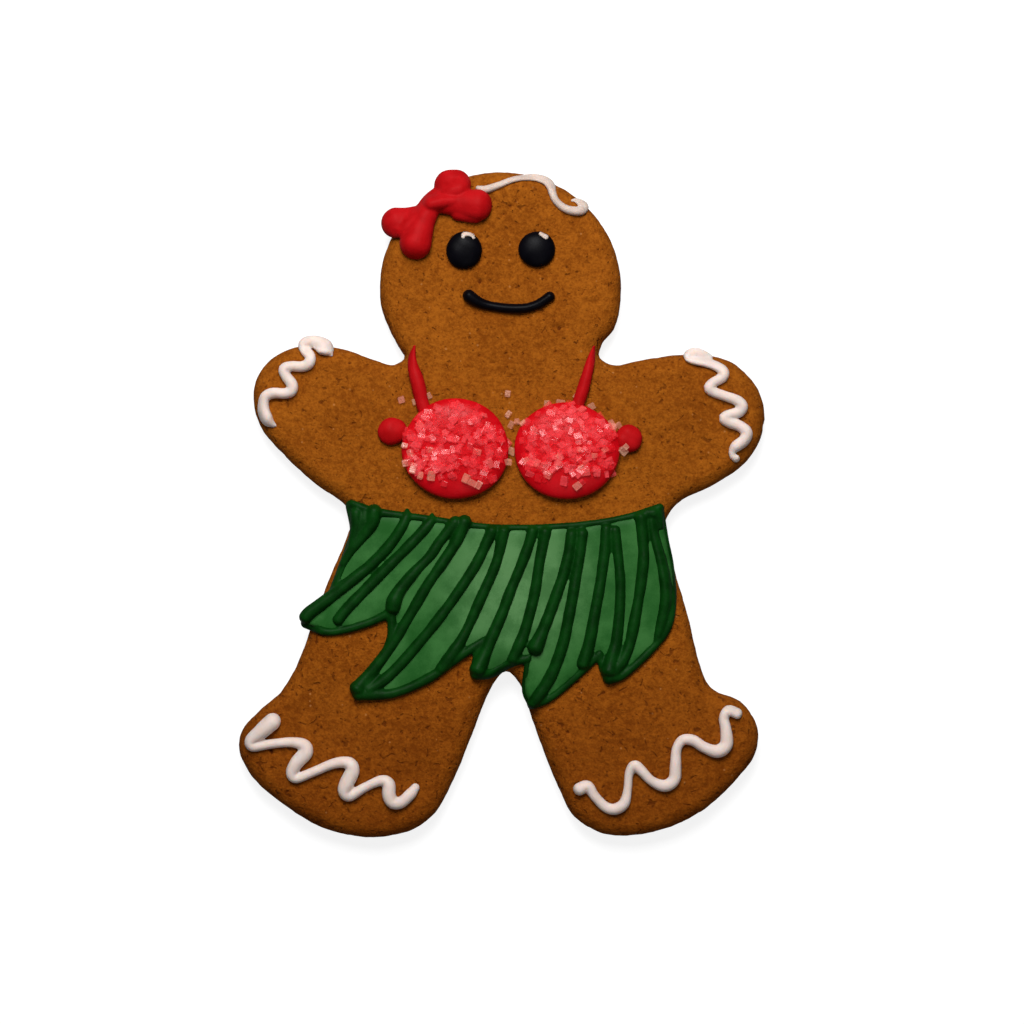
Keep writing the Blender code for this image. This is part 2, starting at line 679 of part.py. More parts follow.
def build_trims():
    """White wiggles on hands, feet and head."""
    trims = {
        "cuff_left": (CUFF_LEFT, 1.15),
        "cuff_right": (CUFF_RIGHT, 1.15),
        "foot_trim_left": (FOOT_TRIM_LEFT, 1.15),
        "foot_trim_right": (FOOT_TRIM_RIGHT, 1.15),
        "hair_line": (HAIR, 1.0),
    }
    for name, (corners, radius) in trims.items():
        solid = strand(wiggle(corners), (radius, radius), radius * 1.45)
        make_object(name, settle(solid, GAP), WHITE)


def build_straps():
    """Tapered straps above the cups and the beads beside them."""
    left = strand(smooth_line(STRAP_LEFT), (0.85, 1.4, 1.75, 1.75), 1.9, under=1)
    right = strand(smooth_line(STRAP_RIGHT), (0.9, 1.15, 1.3), 1.9)
    make_object("strap_left", settle(left, GAP), RED)
    make_object("strap_right", settle(right, GAP), RED)
    for side, (centre, radius) in BEADS.items():
        solid = settle(dome(centre, (radius, radius), BEAD_HEIGHT, 16, 6), GAP)
        make_object("bead_" + side, solid, RED)


build_cookie()
build_cup("left", 21)
build_cup("right", 34)
build_flood()
build_piping()
build_bow()
build_face()
build_trims()
build_straps()
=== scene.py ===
# %% [markdown]
# # A gingerbread figure with piped icing
#
# The real biscuit is a cut sheet of dough that has puffed a little in the oven. Royal icing is piped on it
# from paper cones: round ropes, a flooded sheet with ropes on it, and domes rolled in coarse sugar. Each of
# those steps gets its own cells here, in the order in which a baker does them.
#
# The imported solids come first, because every piece below has to lie where they lie.

# %% Load the frame
import math

import bmesh
import bpy
import numpy as np
from mathutils import Matrix, Vector
from mathutils.bvhtree import BVHTree
from mathutils.geometry import delaunay_2d_cdt


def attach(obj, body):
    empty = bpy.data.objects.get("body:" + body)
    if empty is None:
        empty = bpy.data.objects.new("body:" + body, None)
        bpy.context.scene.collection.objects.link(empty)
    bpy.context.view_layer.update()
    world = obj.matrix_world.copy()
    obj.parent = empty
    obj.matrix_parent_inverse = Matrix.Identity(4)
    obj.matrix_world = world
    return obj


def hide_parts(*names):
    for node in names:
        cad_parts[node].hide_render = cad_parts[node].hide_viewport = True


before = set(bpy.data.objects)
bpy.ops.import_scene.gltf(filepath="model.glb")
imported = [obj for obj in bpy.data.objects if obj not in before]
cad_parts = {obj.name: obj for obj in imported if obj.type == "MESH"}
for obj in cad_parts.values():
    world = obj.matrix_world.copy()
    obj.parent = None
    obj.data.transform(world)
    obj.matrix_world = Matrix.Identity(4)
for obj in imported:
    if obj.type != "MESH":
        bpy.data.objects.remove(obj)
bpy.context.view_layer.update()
print("frame nodes:", len(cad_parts))

# %% [markdown]
# The pieces are drawn in millimetres, in the same coordinates as the solids, whose box has its middle at
# `MIDDLE`. One matrix carries a finished mesh over to the frame, which is in metres.

# %% Units and small helpers
MM = 0.001
MIDDLE = Vector((0.167, -0.146, 0))
TO_FRAME = Matrix.Scale(MM, 4) @ Matrix.Translation(-MIDDLE)


def new_object(name, data):
    """Object linked to the scene."""
    made = bpy.data.objects.new(name, data)
    bpy.context.scene.collection.objects.link(made)
    return made


def mesh_object(name, points, faces):
    """Mesh object from points in millimetres and faces, its faces pointing out."""
    mesh = bpy.data.meshes.new(name)
    mesh.from_pydata([tuple(p) for p in points], [], faces)
    work = bmesh.new()
    work.from_mesh(mesh)
    bmesh.ops.recalc_face_normals(work, faces=work.faces)
    work.to_mesh(mesh)
    work.free()
    return new_object(name, mesh)


def coordinates(mesh):
    """A mesh's points as an array."""
    points = np.empty(len(mesh.vertices) * 3)
    mesh.vertices.foreach_get("co", points)
    return points.reshape(-1, 3)


def set_coordinates(mesh, points):
    """Move a mesh's points."""
    mesh.vertices.foreach_set("co", np.asarray(points, np.float32).ravel())
    mesh.update()


def bake_modifiers(item):
    """Replace an object by a mesh object of what its modifiers give."""
    depsgraph = bpy.context.evaluated_depsgraph_get()
    mesh = bpy.data.meshes.new_from_object(item.evaluated_get(depsgraph))
    name = item.name
    bpy.data.objects.remove(item, do_unlink=True)
    return new_object(name, mesh)


def hand_over(item, slot, *nodes):
    """Carry a finished piece to the frame, where it stands for its solids."""
    item.data.transform(TO_FRAME)
    item.data.shade_smooth()
    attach(item, "root")
    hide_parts(*nodes)
    print(item.name, "faces:", len(item.data.polygons))


# %% [markdown]
# ## Node helpers
#
# Both the shapes and the finishes below are node trees that the script builds. A short helper makes a node
# and fills its inputs, each from a number or from another node's output. The others are the few steps that
# the trees below repeat: sums, ramps and noise, the named sockets of a group, and the end of each shape tree.

# %% Helpers for node trees
def node(tree, kind, settings=None, inputs=None):
    """New node with its settings and its inputs filled."""
    made = tree.nodes.new(kind)
    for name, value in (settings or {}).items():
        setattr(made, name, value)
    for key, value in (inputs or {}).items():
        if isinstance(value, bpy.types.NodeSocket):
            tree.links.new(value, made.inputs[key])
        else:
            made.inputs[key].default_value = value
    return made


def calc(tree, operation, first, *others):
    """Output of a Math node, or of a chain of them when there are more than two values."""
    for other in others or (0.0,):
        made = node(tree, "ShaderNodeMath", {"operation": operation}, {0: first, 1: other})
        first = made.outputs[0]
    return first


def vector_calc(tree, operation, vector, other):
    """Output of a Vector Math node."""
    key = "Scale" if operation == "SCALE" else 1
    made = node(tree, "ShaderNodeVectorMath", {"operation": operation}, {0: vector, key: other})
    return made.outputs["Value" if operation == "DISTANCE" else "Vector"]


def split(tree, vector, letter):
    """One number of a vector."""
    return node(tree, "ShaderNodeSeparateXYZ", None, {0: vector}).outputs[letter]


def ramp(tree, value, low, high, out_low=0.0, out_high=1.0):
    """Smooth step of a value from one range to another."""
    inputs = {"Value": value, "From Min": low, "From Max": high, "To Min": out_low, "To Max": out_high}
    return node(tree, "ShaderNodeMapRange", {"interpolation_type": "SMOOTHSTEP"}, inputs).outputs[0]


def blend(tree, share, first, second, mode="MIX"):
    """Colour between two colours."""
    settings = {"data_type": "RGBA", "blend_type": mode}
    return node(tree, "ShaderNodeMix", settings, {0: share, 6: first, 7: second}).outputs[2]


def noise(tree, where, scale, detail=2.0, rough=0.5):
    """Noise between 0 and 1 whose grains are about 1 / scale wide."""
    inputs = {"Vector": where, "Scale": scale, "Detail": detail, "Roughness": rough}
    return node(tree, "ShaderNodeTexNoise", None, inputs).outputs["Fac"]


# %% Helpers for groups, shape trees and finishes
SOCKETS = {float: "NodeSocketFloat", int: "NodeSocketInt", "shape": "NodeSocketGeometry",
           "object": "NodeSocketObject", "material": "NodeSocketMaterial", "vector": "NodeSocketVector"}


def group_tree(name, kind, inputs, outputs):
    """Node group with named inputs, numbers among them with their usual value."""
    tree = bpy.data.node_groups.new(name, kind)
    for socket, value in inputs.items():
        of_kind = SOCKETS[value if isinstance(value, str) else type(value)]
        made = tree.interface.new_socket(name=socket, in_out="INPUT", socket_type=of_kind)
        if not isinstance(value, str):
            made.default_value = value
    for socket, value in outputs.items():
        tree.interface.new_socket(name=socket, in_out="OUTPUT", socket_type=SOCKETS[value])
    given = tree.nodes.new("NodeGroupInput").outputs
    result = tree.nodes.new("NodeGroupOutput").inputs
    return tree, given, result


def close_shape(tree, given, result, shape):
    """End of a shape tree: all of it made real and given its material."""
    real = node(tree, "GeometryNodeRealizeInstances", None, {0: shape})
    painted = node(tree, "GeometryNodeSetMaterial", None, {0: real.outputs[0], "Material": given["Material"]})
    tree.links.new(painted.outputs[0], result[0])
    return tree


def shape_with(item, tree, values):
    """Run a shape tree on an object and keep the mesh it makes."""
    modifier = item.modifiers.new(tree.name, "NODES")
    modifier.node_group = tree
    for socket in tree.interface.items_tree:
        if socket.in_out == "INPUT" and socket.name in values:
            modifier[socket.identifier] = values[socket.name]
    return bake_modifiers(item)


def new_finish(name, roughness, specular=0.5):
    """Material with its tree and its shader."""
    made = bpy.data.materials.new(name)
    made.use_nodes = True
    shader = made.node_tree.nodes["Principled BSDF"]
    shader.inputs["Roughness"].default_value = roughness
    shader.inputs["Specular IOR Level"].default_value = specular
    return made, made.node_tree, shader


# %% [markdown]
# ## Camera, floor and light
#
# The photograph looks straight down on the biscuit, so a long lens hangs over it. The light in it is soft
# and comes from above the head: lower edges of the dough and of each rope are dark, upper edges are bright.
# One broad area light does that, and a weak one fills the shadows. The world looks pale to the camera but
# gives little light, because dark icing would mirror a bright one as a grey veil. The floor is a grey sheet
# that glows for the camera alone, so it looks white, shadows on it stay faint, and it throws little light
# back up.

# %% Camera, floor and lights
LENS_MM = 100
CAMERA_PLACE = (0.00214, -0.00153, 0.6023)
FLOOR_HALF = 1.5
FLOOR_DROP = 0.00002
KEY_PLACE = (-0.03, 0.30, 0.43)
KEY_SIZE = 0.26
KEY_WATTS = 3.4
FILL_PLACE = (0.12, -0.30, 0.50)
FILL_SIZE = 0.4
FILL_WATTS = 0.34
WORLD_LIGHT = 0.07
WORLD_SEEN = 0.95
FLOOR_COLOUR = (0.26, 0.26, 0.26, 1)
FLOOR_GLOW = 0.84
FLOOR_ROUGHNESS = 0.9

scene = bpy.context.scene
scene.view_settings.view_transform = "Standard"

camera_data = bpy.data.cameras.new("camera")
camera_data.lens = LENS_MM
camera_data.clip_start = 0.01
camera = new_object("camera", camera_data)
camera.location = CAMERA_PLACE
scene.camera = camera


def area_light(name, place, size, watts):
    """Square soft light aimed at the middle of the biscuit."""
    data = bpy.data.lights.new(name, "AREA")
    data.size = size
    data.energy = watts
    lamp = new_object(name, data)
    lamp.location = place
    lamp.rotation_euler = (-Vector(place)).to_track_quat("-Z", "Y").to_euler()
    return lamp


area_light("key", KEY_PLACE, KEY_SIZE, KEY_WATTS)
area_light("fill", FILL_PLACE, FILL_SIZE, FILL_WATTS)

world = bpy.data.worlds.new("studio")
world.use_nodes = True
sky = world.node_tree
seen = node(sky, "ShaderNodeLightPath").outputs["Is Camera Ray"]
strength = node(sky, "ShaderNodeMapRange", None, {"Value": seen, "To Min": WORLD_LIGHT, "To Max": WORLD_SEEN})
sky.links.new(strength.outputs[0], sky.nodes["Background"].inputs["Strength"])
sky.nodes["Background"].inputs["Color"].default_value = (1, 1, 1, 1)
scene.world = world

floor_mesh = bpy.data.meshes.new("floor")
corners = [(x * FLOOR_HALF, y * FLOOR_HALF, -FLOOR_DROP) for x, y in ((-1, -1), (1, -1), (1, 1), (-1, 1))]
floor_mesh.from_pydata(corners, [], [(0, 1, 2, 3)])
floor_sheet = new_object("floor", floor_mesh)
floor_white, floor_tree, floor_shader = new_finish("floor_white", FLOOR_ROUGHNESS)
floor_shader.inputs["Base Color"].default_value = FLOOR_COLOUR
floor_shader.inputs["Emission Strength"].default_value = FLOOR_GLOW
seen = node(floor_tree, "ShaderNodeLightPath").outputs["Is Camera Ray"]
floor_tree.links.new(seen, floor_shader.inputs["Emission Color"])
floor_mesh.materials.append(floor_white)
print("camera height in mm:", round(camera.location.z / MM))

# %% [markdown]
# ## Lines of the drawing
#
# A limb's outline is a smooth closed curve through a few points. A piped line is an open curve, and each of
# its anchors has a third number, the half width of the rope there, which the curve carries along.

# %% Smooth curves
def bezier(p0, p1, p2, p3, count):
    """Points on one cubic span, its last point left out."""
    t = (np.arange(count) / count)[:, None]
    return (1 - t) ** 3 * p0 + 3 * t * (1 - t) ** 2 * p1 + 3 * t * t * (1 - t) * p2 + t ** 3 * p3


def smooth_loop(anchors, per_span):
    """Closed curve through the anchors, centripetal so that it never loops."""
    ring = np.array(anchors, float)
    spans = []
    for i in range(len(ring)):
        p0, p1, p2, p3 = (ring[(i + k) % len(ring)] for k in (-1, 0, 1, 2))
        a, b, c = (math.sqrt(math.dist(u, v)) for u, v in ((p0, p1), (p1, p2), (p2, p3)))
        h1 = a * a * p2 - b * b * p0 + (2 * a * a + 3 * a * b + b * b) * p1
        h2 = c * c * p1 - b * b * p3 + (2 * c * c + 3 * c * b + b * b) * p2
        spans.append(bezier(p1, h1 / (3 * a * (a + b)), h2 / (3 * c * (c + b)), p2, per_span))
    return np.vstack(spans)


def smooth_line(anchors, per_span=12):
    """Open curve through the anchors; their half widths, if any, go along."""
    line = np.array(anchors, float)
    padded = [2 * line[0] - line[1], *line, 2 * line[-1] - line[-2]]
    spans = []
    for p0, p1, p2, p3 in zip(padded, padded[1:], padded[2:], padded[3:]):
        spans.append(bezier(p1, p1 + (p2 - p0) / 6, p2 - (p3 - p1) / 6, p2, per_span))
    return np.vstack([*spans, line[-1:]])


def lengths_along(line):
    """Distance of each point of a line from its start."""
    return np.concatenate([[0], np.cumsum(np.linalg.norm(np.diff(line, axis=0), axis=1))])


# %% [markdown]
# ## The dough
#
# The biscuit is one slab about 7 mm thick with a flat base, an upright side and a shoulder that rounds over
# to a slightly puffed top. The outline gives each point its distance from the rim, and that distance alone
# gives the height, so a single function shapes the dough and later lays every piece of icing on it.

# %% Outline of the dough
RIM_SPACING = 0.8
HEAD_CENTRE = (-0.1, 45.4)
HEAD_RADII = (25.4, 24.4)
LEFT_NECK = [(-21.2, 32.5), (-20.2, 30.9), (-22.5, 29.3)]
LEFT_ARM = [
    (-26.7, 30.3), (-34.2, 32.8), (-42.2, 33.2), (-48.3, 30.4), (-51.4, 26.5),
    (-52.1, 21.8), (-50.4, 16.0), (-45.6, 10.1), (-38.4, 3.8), (-33.0, 0.0),
]
LEFT_SIDE = [(-31.2, -2.9), (-32.5, -7.1), (-35.9, -15.1), (-40.7, -28.1), (-43.5, -34.9)]
LEFT_FOOT = [
    (-46.2, -39.5), (-51.4, -43.9), (-54.6, -47.9), (-55.0, -52.1), (-52.5, -57.1),
    (-46.2, -62.8), (-37.6, -68.0), (-27.9, -70.1), (-19.1, -68.7), (-13.7, -64.7),
]
BETWEEN_LEGS = [
    (-10.3, -58.8), (-6.1, -48.7), (-1.7, -38.0), (1.1, -35.2), (3.8, -37.6),
    (6.9, -46.4), (11.8, -58.8),
]
RIGHT_FOOT = [
    (15.3, -65.5), (21.6, -69.3), (31.3, -69.2), (41.2, -65.3), (48.7, -58.8),
    (53.3, -52.9), (54.0, -47.5), (51.0, -42.1), (44.3, -38.9),
]
RIGHT_SIDE = [(42.0, -34.4), (39.3, -23.5), (35.9, -11.8), (34.4, -4.2)]
RIGHT_ARM = [
    (37.2, 0.2), (45.1, 4.2), (52.3, 9.7), (55.4, 17.2), (53.8, 24.6),
    (48.1, 30.0), (39.7, 31.4), (29.4, 30.2),
]
RIGHT_NECK = [(23.7, 29.2), (20.6, 30.9), (21.2, 33.8)]


def rim_points():
    """Even points round the outline of the dough."""
    head = []
    for degrees in range(-20, 205, 15):
        angle = math.radians(degrees)
        head.append((
            HEAD_CENTRE[0] + HEAD_RADII[0] * math.cos(angle),
            HEAD_CENTRE[1] + HEAD_RADII[1] * math.sin(angle),
        ))
    anchors = [
        *LEFT_NECK, *LEFT_ARM, *LEFT_SIDE, *LEFT_FOOT, *BETWEEN_LEGS,
        *RIGHT_FOOT, *RIGHT_SIDE, *RIGHT_ARM, *RIGHT_NECK, *head,
    ]
    loop = smooth_loop(anchors, 10)
    loop = np.vstack([loop, loop[:1]])
    along = lengths_along(loop)
    places = np.linspace(0, along[-1], round(along[-1] / RIM_SPACING), endpoint=False)
    return np.column_stack([np.interp(places, along, loop[:, axis]) for axis in (0, 1)])


RIM = rim_points()
print("points round the rim:", len(RIM))

# %% Height of the dough
TOP = 7.1
SIDE_TOP = 3.6
SHOULDER = 3.6
PUFF = 0.5
PUFF_REACH = 9.0
WAVE = 0.13


def loop_distance(points, loop):
    """Distance of points from a closed loop, above zero inside it."""
    nearest = np.full(len(points), np.inf)
    inside = np.zeros(len(points), bool)
    for start, end in zip(loop, np.roll(loop, -1, axis=0)):
        step = end - start
        away = points - start
        t = np.clip(away @ step / (step @ step), 0, 1)
        nearest = np.minimum(nearest, np.linalg.norm(away - t[:, None] * step, axis=1))
        rise = step[1] if abs(step[1]) > 1e-9 else 1e-9
        spans = (start[1] > points[:, 1]) != (end[1] > points[:, 1])
        inside ^= spans & (away[:, 0] < away[:, 1] * step[0] / rise)
    return np.where(inside, nearest, -nearest)


def crust_height(points):
    """Height of the dough's top: a rounded shoulder, then an uneven puff."""
    depth = np.maximum(loop_distance(points, RIM), 0)
    turn = np.clip(1 - depth / SHOULDER, 0, 1)
    shoulder = SIDE_TOP + (TOP - SIDE_TOP) * np.sqrt(1 - turn * turn)
    puff = PUFF * (1 - np.exp(-depth / PUFF_REACH))
    x, y = points.T
    waves = np.sin(0.23 * x + 0.11 * y + 0.6) + np.sin(0.19 * y - 0.13 * x + 2.1)
    return shoulder + puff + WAVE * waves * (1 - turn)


# %% [markdown]
# The slab's mesh is built in rings up the side and over the shoulder, and a fine staggered grid fills the
# top. The top needs short edges, about two to a pixel of the photograph, because the pits and cracks of the
# crust are cut into it as real relief. The flat base can be coarser.

# %% Slab of dough
TOP_GRID = 0.42
BASE_GRID = 1.1
SIDE_RINGS = ((1.0, 0.0), (0.5, 0.25), (0.2, 0.75), (0.05, 1.5), (0.0, 2.3), (0.0, 3.0))
SHOULDER_TURN = (0, 10, 20, 30, 40, 50, 60, 70, 80, 90)


def grid_inside(loop, spacing, margin):
    """Staggered grid of points that keep a margin from a loop."""
    low = loop.min(axis=0)
    high = loop.max(axis=0)
    points = []
    for row, y in enumerate(np.arange(low[1], high[1], spacing * 0.87)):
        xs = np.arange(low[0] + (row % 2) * spacing / 2, high[0], spacing)
        points.append(np.column_stack([xs, np.full(len(xs), y)]))
    points = np.vstack(points)
    return points[loop_distance(points, loop) > margin]


def fill_loop(loop, spacing):
    """Triangles inside a loop, with grid points added in the middle."""
    inner = grid_inside(loop, spacing, spacing * 0.55)
    corners = [Vector(p) for p in np.vstack([loop, inner])]
    ring = [(i, (i + 1) % len(loop)) for i in range(len(loop))]
    filled = delaunay_2d_cdt(corners, ring, [], 1, 1e-6)
    return np.array([list(p) for p in filled[0]]), [tuple(face) for face in filled[2]]


def slab():
    """Points and faces of the dough before it has any crumb."""
    tangent = np.roll(RIM, -1, axis=0) - np.roll(RIM, 1, axis=0)
    inward = np.column_stack([-tangent[:, 1], tangent[:, 0]])
    inward /= np.linalg.norm(inward, axis=1)[:, None]
    rings = []
    for inset, height in SIDE_RINGS:
        flat = RIM + inward * inset
        rings.append(np.column_stack([flat, np.full(len(RIM), height)]))
    for degrees in SHOULDER_TURN:
        flat = RIM + inward * SHOULDER * (1 - math.cos(math.radians(degrees)))
        rings.append(np.column_stack([flat, crust_height(flat)]))
    count = len(RIM)
    faces = []
    for level in range(len(rings) - 1):
        for i in range(count):
            j = (i + 1) % count
            low = level * count
            faces.append((low + i, low + j, low + count + j, low + count + i))
    top, triangles = fill_loop(rings[-1][:, :2], TOP_GRID)
    offset = (len(rings) - 1) * count
    inner = top[count:]
    faces += [tuple(offset + i for i in face) for face in triangles]
    base, triangles = fill_loop(rings[0][:, :2], BASE_GRID)
    below = len(rings) * count + len(inner) - count
    faces += [tuple(i if i < count else below + i for i in reversed(face)) for face in triangles]
    rings.append(np.column_stack([inner, crust_height(inner)]))
    rings.append(np.column_stack([base[count:], np.zeros(len(base) - count)]))
    return np.vstack(rings), faces


dough = mesh_object("biscuit", *slab())
print("slab faces:", len(dough.data.polygons))

# %% [markdown]
# Baked dough is never smooth. It has long soft swells, a grainy skin, small round holes where steam came
# out, and short cracks. A shape tree moves each point along its normal by noise of several sizes, and
# Voronoi cells give the holes: only some cells have one, and each has its own width. Each row of `HOLES`
# has the scale of the cells, the share of them with a hole, and the widest hole. A row of cracks has the
# noise whose middle they follow, their width, the noise that says where they are, and the step at which it
# lets them show. The depth is also kept as an attribute, so that the finish can paint shade into the same
# holes.

# %% Crumb of the crust
CRUMB = {"Swell": 0.12, "Grain": 0.085, "Hole Depth": 0.45, "Crack Depth": 0.40, "Seed": 4}
SWELLS = (0.13, 1.0)
GRAINS = (0.55, 4.0, 0.62)
HOLES = ((0.16, 0.34, 0.14), (0.34, 0.34, 0.19), (0.75, 0.36, 0.27))
HOLE_WARP = (0.9, 1.5)
LARGE_CRACKS = ((0.24, 1.2), (0.022, 0.004), (0.20, 1.0), (0.62, 0.68))


def warped(tree, place, scale, reach):
    """A place moved about by noise, so that what is drawn there comes out uneven."""
    bend = node(tree, "ShaderNodeTexNoise", None, {"Vector": place, "Scale": scale, "Detail": 2.0})
    return vector_calc(tree, "ADD", place, vector_calc(tree, "SCALE", bend.outputs["Color"], reach))


def cells(tree, place, scale):
    """Distance from the middle of a cell of a pattern, and a random number that the whole cell has."""
    made = node(tree, "ShaderNodeTexVoronoi", None, {"Vector": place, "Scale": scale})
    return made.outputs["Distance"], split(tree, made.outputs["Color"], "X")


def cracks(tree, place, line, width, spots, edge, more=0.0):
    """Thin lines where one noise passes its middle, kept only where another noise is high."""
    off_middle = calc(tree, "ABSOLUTE", calc(tree, "SUBTRACT", noise(tree, place, *line), 0.5))
    high = calc(tree, "ADD", noise(tree, place, *spots), more)
    return calc(tree, "MULTIPLY", ramp(tree, off_middle, *width), ramp(tree, high, *edge))


def crumb_tree():
    """Shape tree that roughens the dough and cuts its holes and cracks."""
    inputs = {"Geometry": "shape", "Swell": 0.1, "Grain": 0.05, "Hole Depth": 0.4,
              "Crack Depth": 0.3, "Seed": 0, "Material": "material"}
    tree, given, result = group_tree("crumb", "GeometryNodeTree", inputs, {"Geometry": "shape"})
    place = node(tree, "GeometryNodeInputPosition").outputs[0]
    seed = node(tree, "ShaderNodeCombineXYZ", None, {2: calc(tree, "MULTIPLY", given["Seed"], 37.0)})
    moved = vector_calc(tree, "ADD", place, seed.outputs[0])

    swell = calc(tree, "SUBTRACT", noise(tree, moved, *SWELLS), 0.5)
    swell = calc(tree, "MULTIPLY", given["Swell"], 4.0, swell)
    grain = calc(tree, "SUBTRACT", noise(tree, moved, *GRAINS), 0.5)
    grain = calc(tree, "MULTIPLY", given["Grain"], 5.0, grain)
    off_base = ramp(tree, split(tree, place, "Z"), 0.05, 1.2)
    rough = calc(tree, "MULTIPLY", calc(tree, "ADD", swell, grain), off_base)

    bent = warped(tree, moved, *HOLE_WARP)
    holes = 0.0
    for scale, share, widest in HOLES:
        away, chance = cells(tree, bent, scale)
        width = calc(tree, "MULTIPLY", ramp(tree, chance, 1 - share, 1.0), widest)
        near = calc(tree, "DIVIDE", away, calc(tree, "MAXIMUM", width, 0.01))
        holes = calc(tree, "MAXIMUM", holes, ramp(tree, near, 1.0, 0.45))
    crack = cracks(tree, moved, *LARGE_CRACKS)

    hole_cut = calc(tree, "MULTIPLY", holes, given["Hole Depth"])
    crack_cut = calc(tree, "MULTIPLY", crack, given["Crack Depth"])
    push = calc(tree, "SUBTRACT", rough, calc(tree, "ADD", hole_cut, crack_cut))
    normal = node(tree, "GeometryNodeInputNormal").outputs[0]
    offset = vector_calc(tree, "SCALE", normal, push)
    marked = node(tree, "GeometryNodeStoreNamedAttribute", {"data_type": "FLOAT"},
                  {"Geometry": given["Geometry"], "Name": "hole",
                   "Value": calc(tree, "MAXIMUM", holes, calc(tree, "MULTIPLY", crack, 0.8))})
    shaped = node(tree, "GeometryNodeSetPosition", None, {"Geometry": marked.outputs[0], "Offset": offset})
    return close_shape(tree, given, result, shaped.outputs[0])


# %% [markdown]
# ## Finish of the dough
#
# Gingerbread is matt brown with darker and lighter clouds, holes and a few pale specks of sugar and flour.
# Noise of four sizes mixes two browns that are close together, and the feet are darkened with painted shade,
# where the light falls off. The `hole` attribute from the shape tree paints shade into the large holes. Pits
# and cracks too small for the mesh get painted shade in the colour and are deep in the bump; the cracks are
# more frequent on the legs. Each row of dots has the scale of its cells, the share of them with a dot, and
# the narrowest and the widest dot.

# %% Gingerbread finish
DOUGH_DARK = (0.178, 0.042, 0.0020, 1)
DOUGH_LIGHT = (0.325, 0.092, 0.0062, 1)
# painted shade: the near-black brown laid into holes, pits and cracks
PAINTED_HOLE_SHADE = (0.060, 0.009, 0.0008, 1)
DOUGH_SPECK = (0.46, 0.20, 0.06, 1)
# painted shade: the dough is darkened towards the feet, where the light falls off
FEET_SHADE = (0.72, 0.63, 0.55, 1)
FEET_SHADE_SPAN = (-16.0, -60.0, 0.0, 0.7)
LEGS_CRACKED = (10.0, -40.0, 0.0, 0.065)
SPECKS = (0.6, 0.2, 0.10, 0.2)
PITS = ((0.42, 0.34, 0.08, 0.19), (0.95, 0.3, 0.12, 0.26))
PIT_WARP = (1.3, 1.6)
FINE_CRACKS = ((0.36, 0.5), (0.050, 0.012), (0.62, 1.0), (0.63, 0.70))
TONES = (("clouds", 0.07, 0.22), ("patches", 0.4, 0.24), ("lumps", 0.95, 0.34), ("grains", 2.2, 0.36))


def surface_place(tree):
    """A point of the surface in millimetres, fixed to the biscuit."""
    place = node(tree, "ShaderNodeTexCoord").outputs["Object"]
    scaled = node(tree, "ShaderNodeMapping", None, {"Vector": place, "Scale": (1 / MM, 1 / MM, 1 / MM)})
    return scaled.outputs[0]


def dots(tree, place, scale, share, narrow, wide):
    """Round dots, one in some cells of a pattern; share is the part of the cells that has one."""
    away, chance = cells(tree, place, scale)
    near = calc(tree, "DIVIDE", away, ramp(tree, chance, 1 - share, 1.0, narrow, wide))
    some = calc(tree, "GREATER_THAN", chance, 1 - share)
    return calc(tree, "MULTIPLY", ramp(tree, near, 1.0, 0.4), some)


def gingerbread():
    """Brown, mottled and porous crust."""
    made, tree, shader = new_finish("gingerbread", 0.85, 0.04)
    place = surface_place(tree)
    layers = {}
    tone = 0.0
    for name, scale, weight in TONES:
        layers[name] = noise(tree, place, scale, 3.0, 0.6)
        tone = calc(tree, "ADD", tone, calc(tree, "MULTIPLY", layers[name], weight))
    colour = blend(tree, ramp(tree, tone, 0.45, 0.72), DOUGH_DARK, DOUGH_LIGHT)
    along = split(tree, place, "Y")
    # painted shade: darker towards the feet
    colour = blend(tree, ramp(tree, along, *FEET_SHADE_SPAN), colour, FEET_SHADE, "MULTIPLY")
    specks = calc(tree, "MULTIPLY", dots(tree, place, *SPECKS), 0.45)
    colour = blend(tree, specks, colour, DOUGH_SPECK)

    bent = warped(tree, place, *PIT_WARP)
    pits = calc(tree, "MAXIMUM", *(dots(tree, bent, *row) for row in PITS))
    fine = cracks(tree, place, *FINE_CRACKS, ramp(tree, along, *LEGS_CRACKED))
    hole = node(tree, "ShaderNodeAttribute", {"attribute_name": "hole"}).outputs["Fac"]
    # painted shade in the large holes, the small pits and the fine cracks
    dark = calc(tree, "MAXIMUM", ramp(tree, hole, 0.3, 0.95, 0.0, 0.85),
                calc(tree, "MULTIPLY", pits, 0.65), calc(tree, "MULTIPLY", fine, 0.55))
    tree.links.new(blend(tree, dark, colour, PAINTED_HOLE_SHADE), shader.inputs["Base Color"])

    height = calc(tree, "ADD", calc(tree, "MULTIPLY", layers["grains"], 0.6), layers["lumps"])
    deep = calc(tree, "MULTIPLY", calc(tree, "MAXIMUM", pits, fine), 0.5)
    height = calc(tree, "SUBTRACT", height, deep)
    bump = node(tree, "ShaderNodeBump", None, {"Strength": 0.85, "Distance": 0.35 * MM, "Height": height})
    tree.links.new(bump.outputs[0], shader.inputs["Normal"])
    return made


dough = shape_with(dough, crumb_tree(), {**CRUMB, "Material": gingerbread()})
print("lowest point of the dough in mm:", round(coordinates(dough.data)[:, 2].min(), 3))
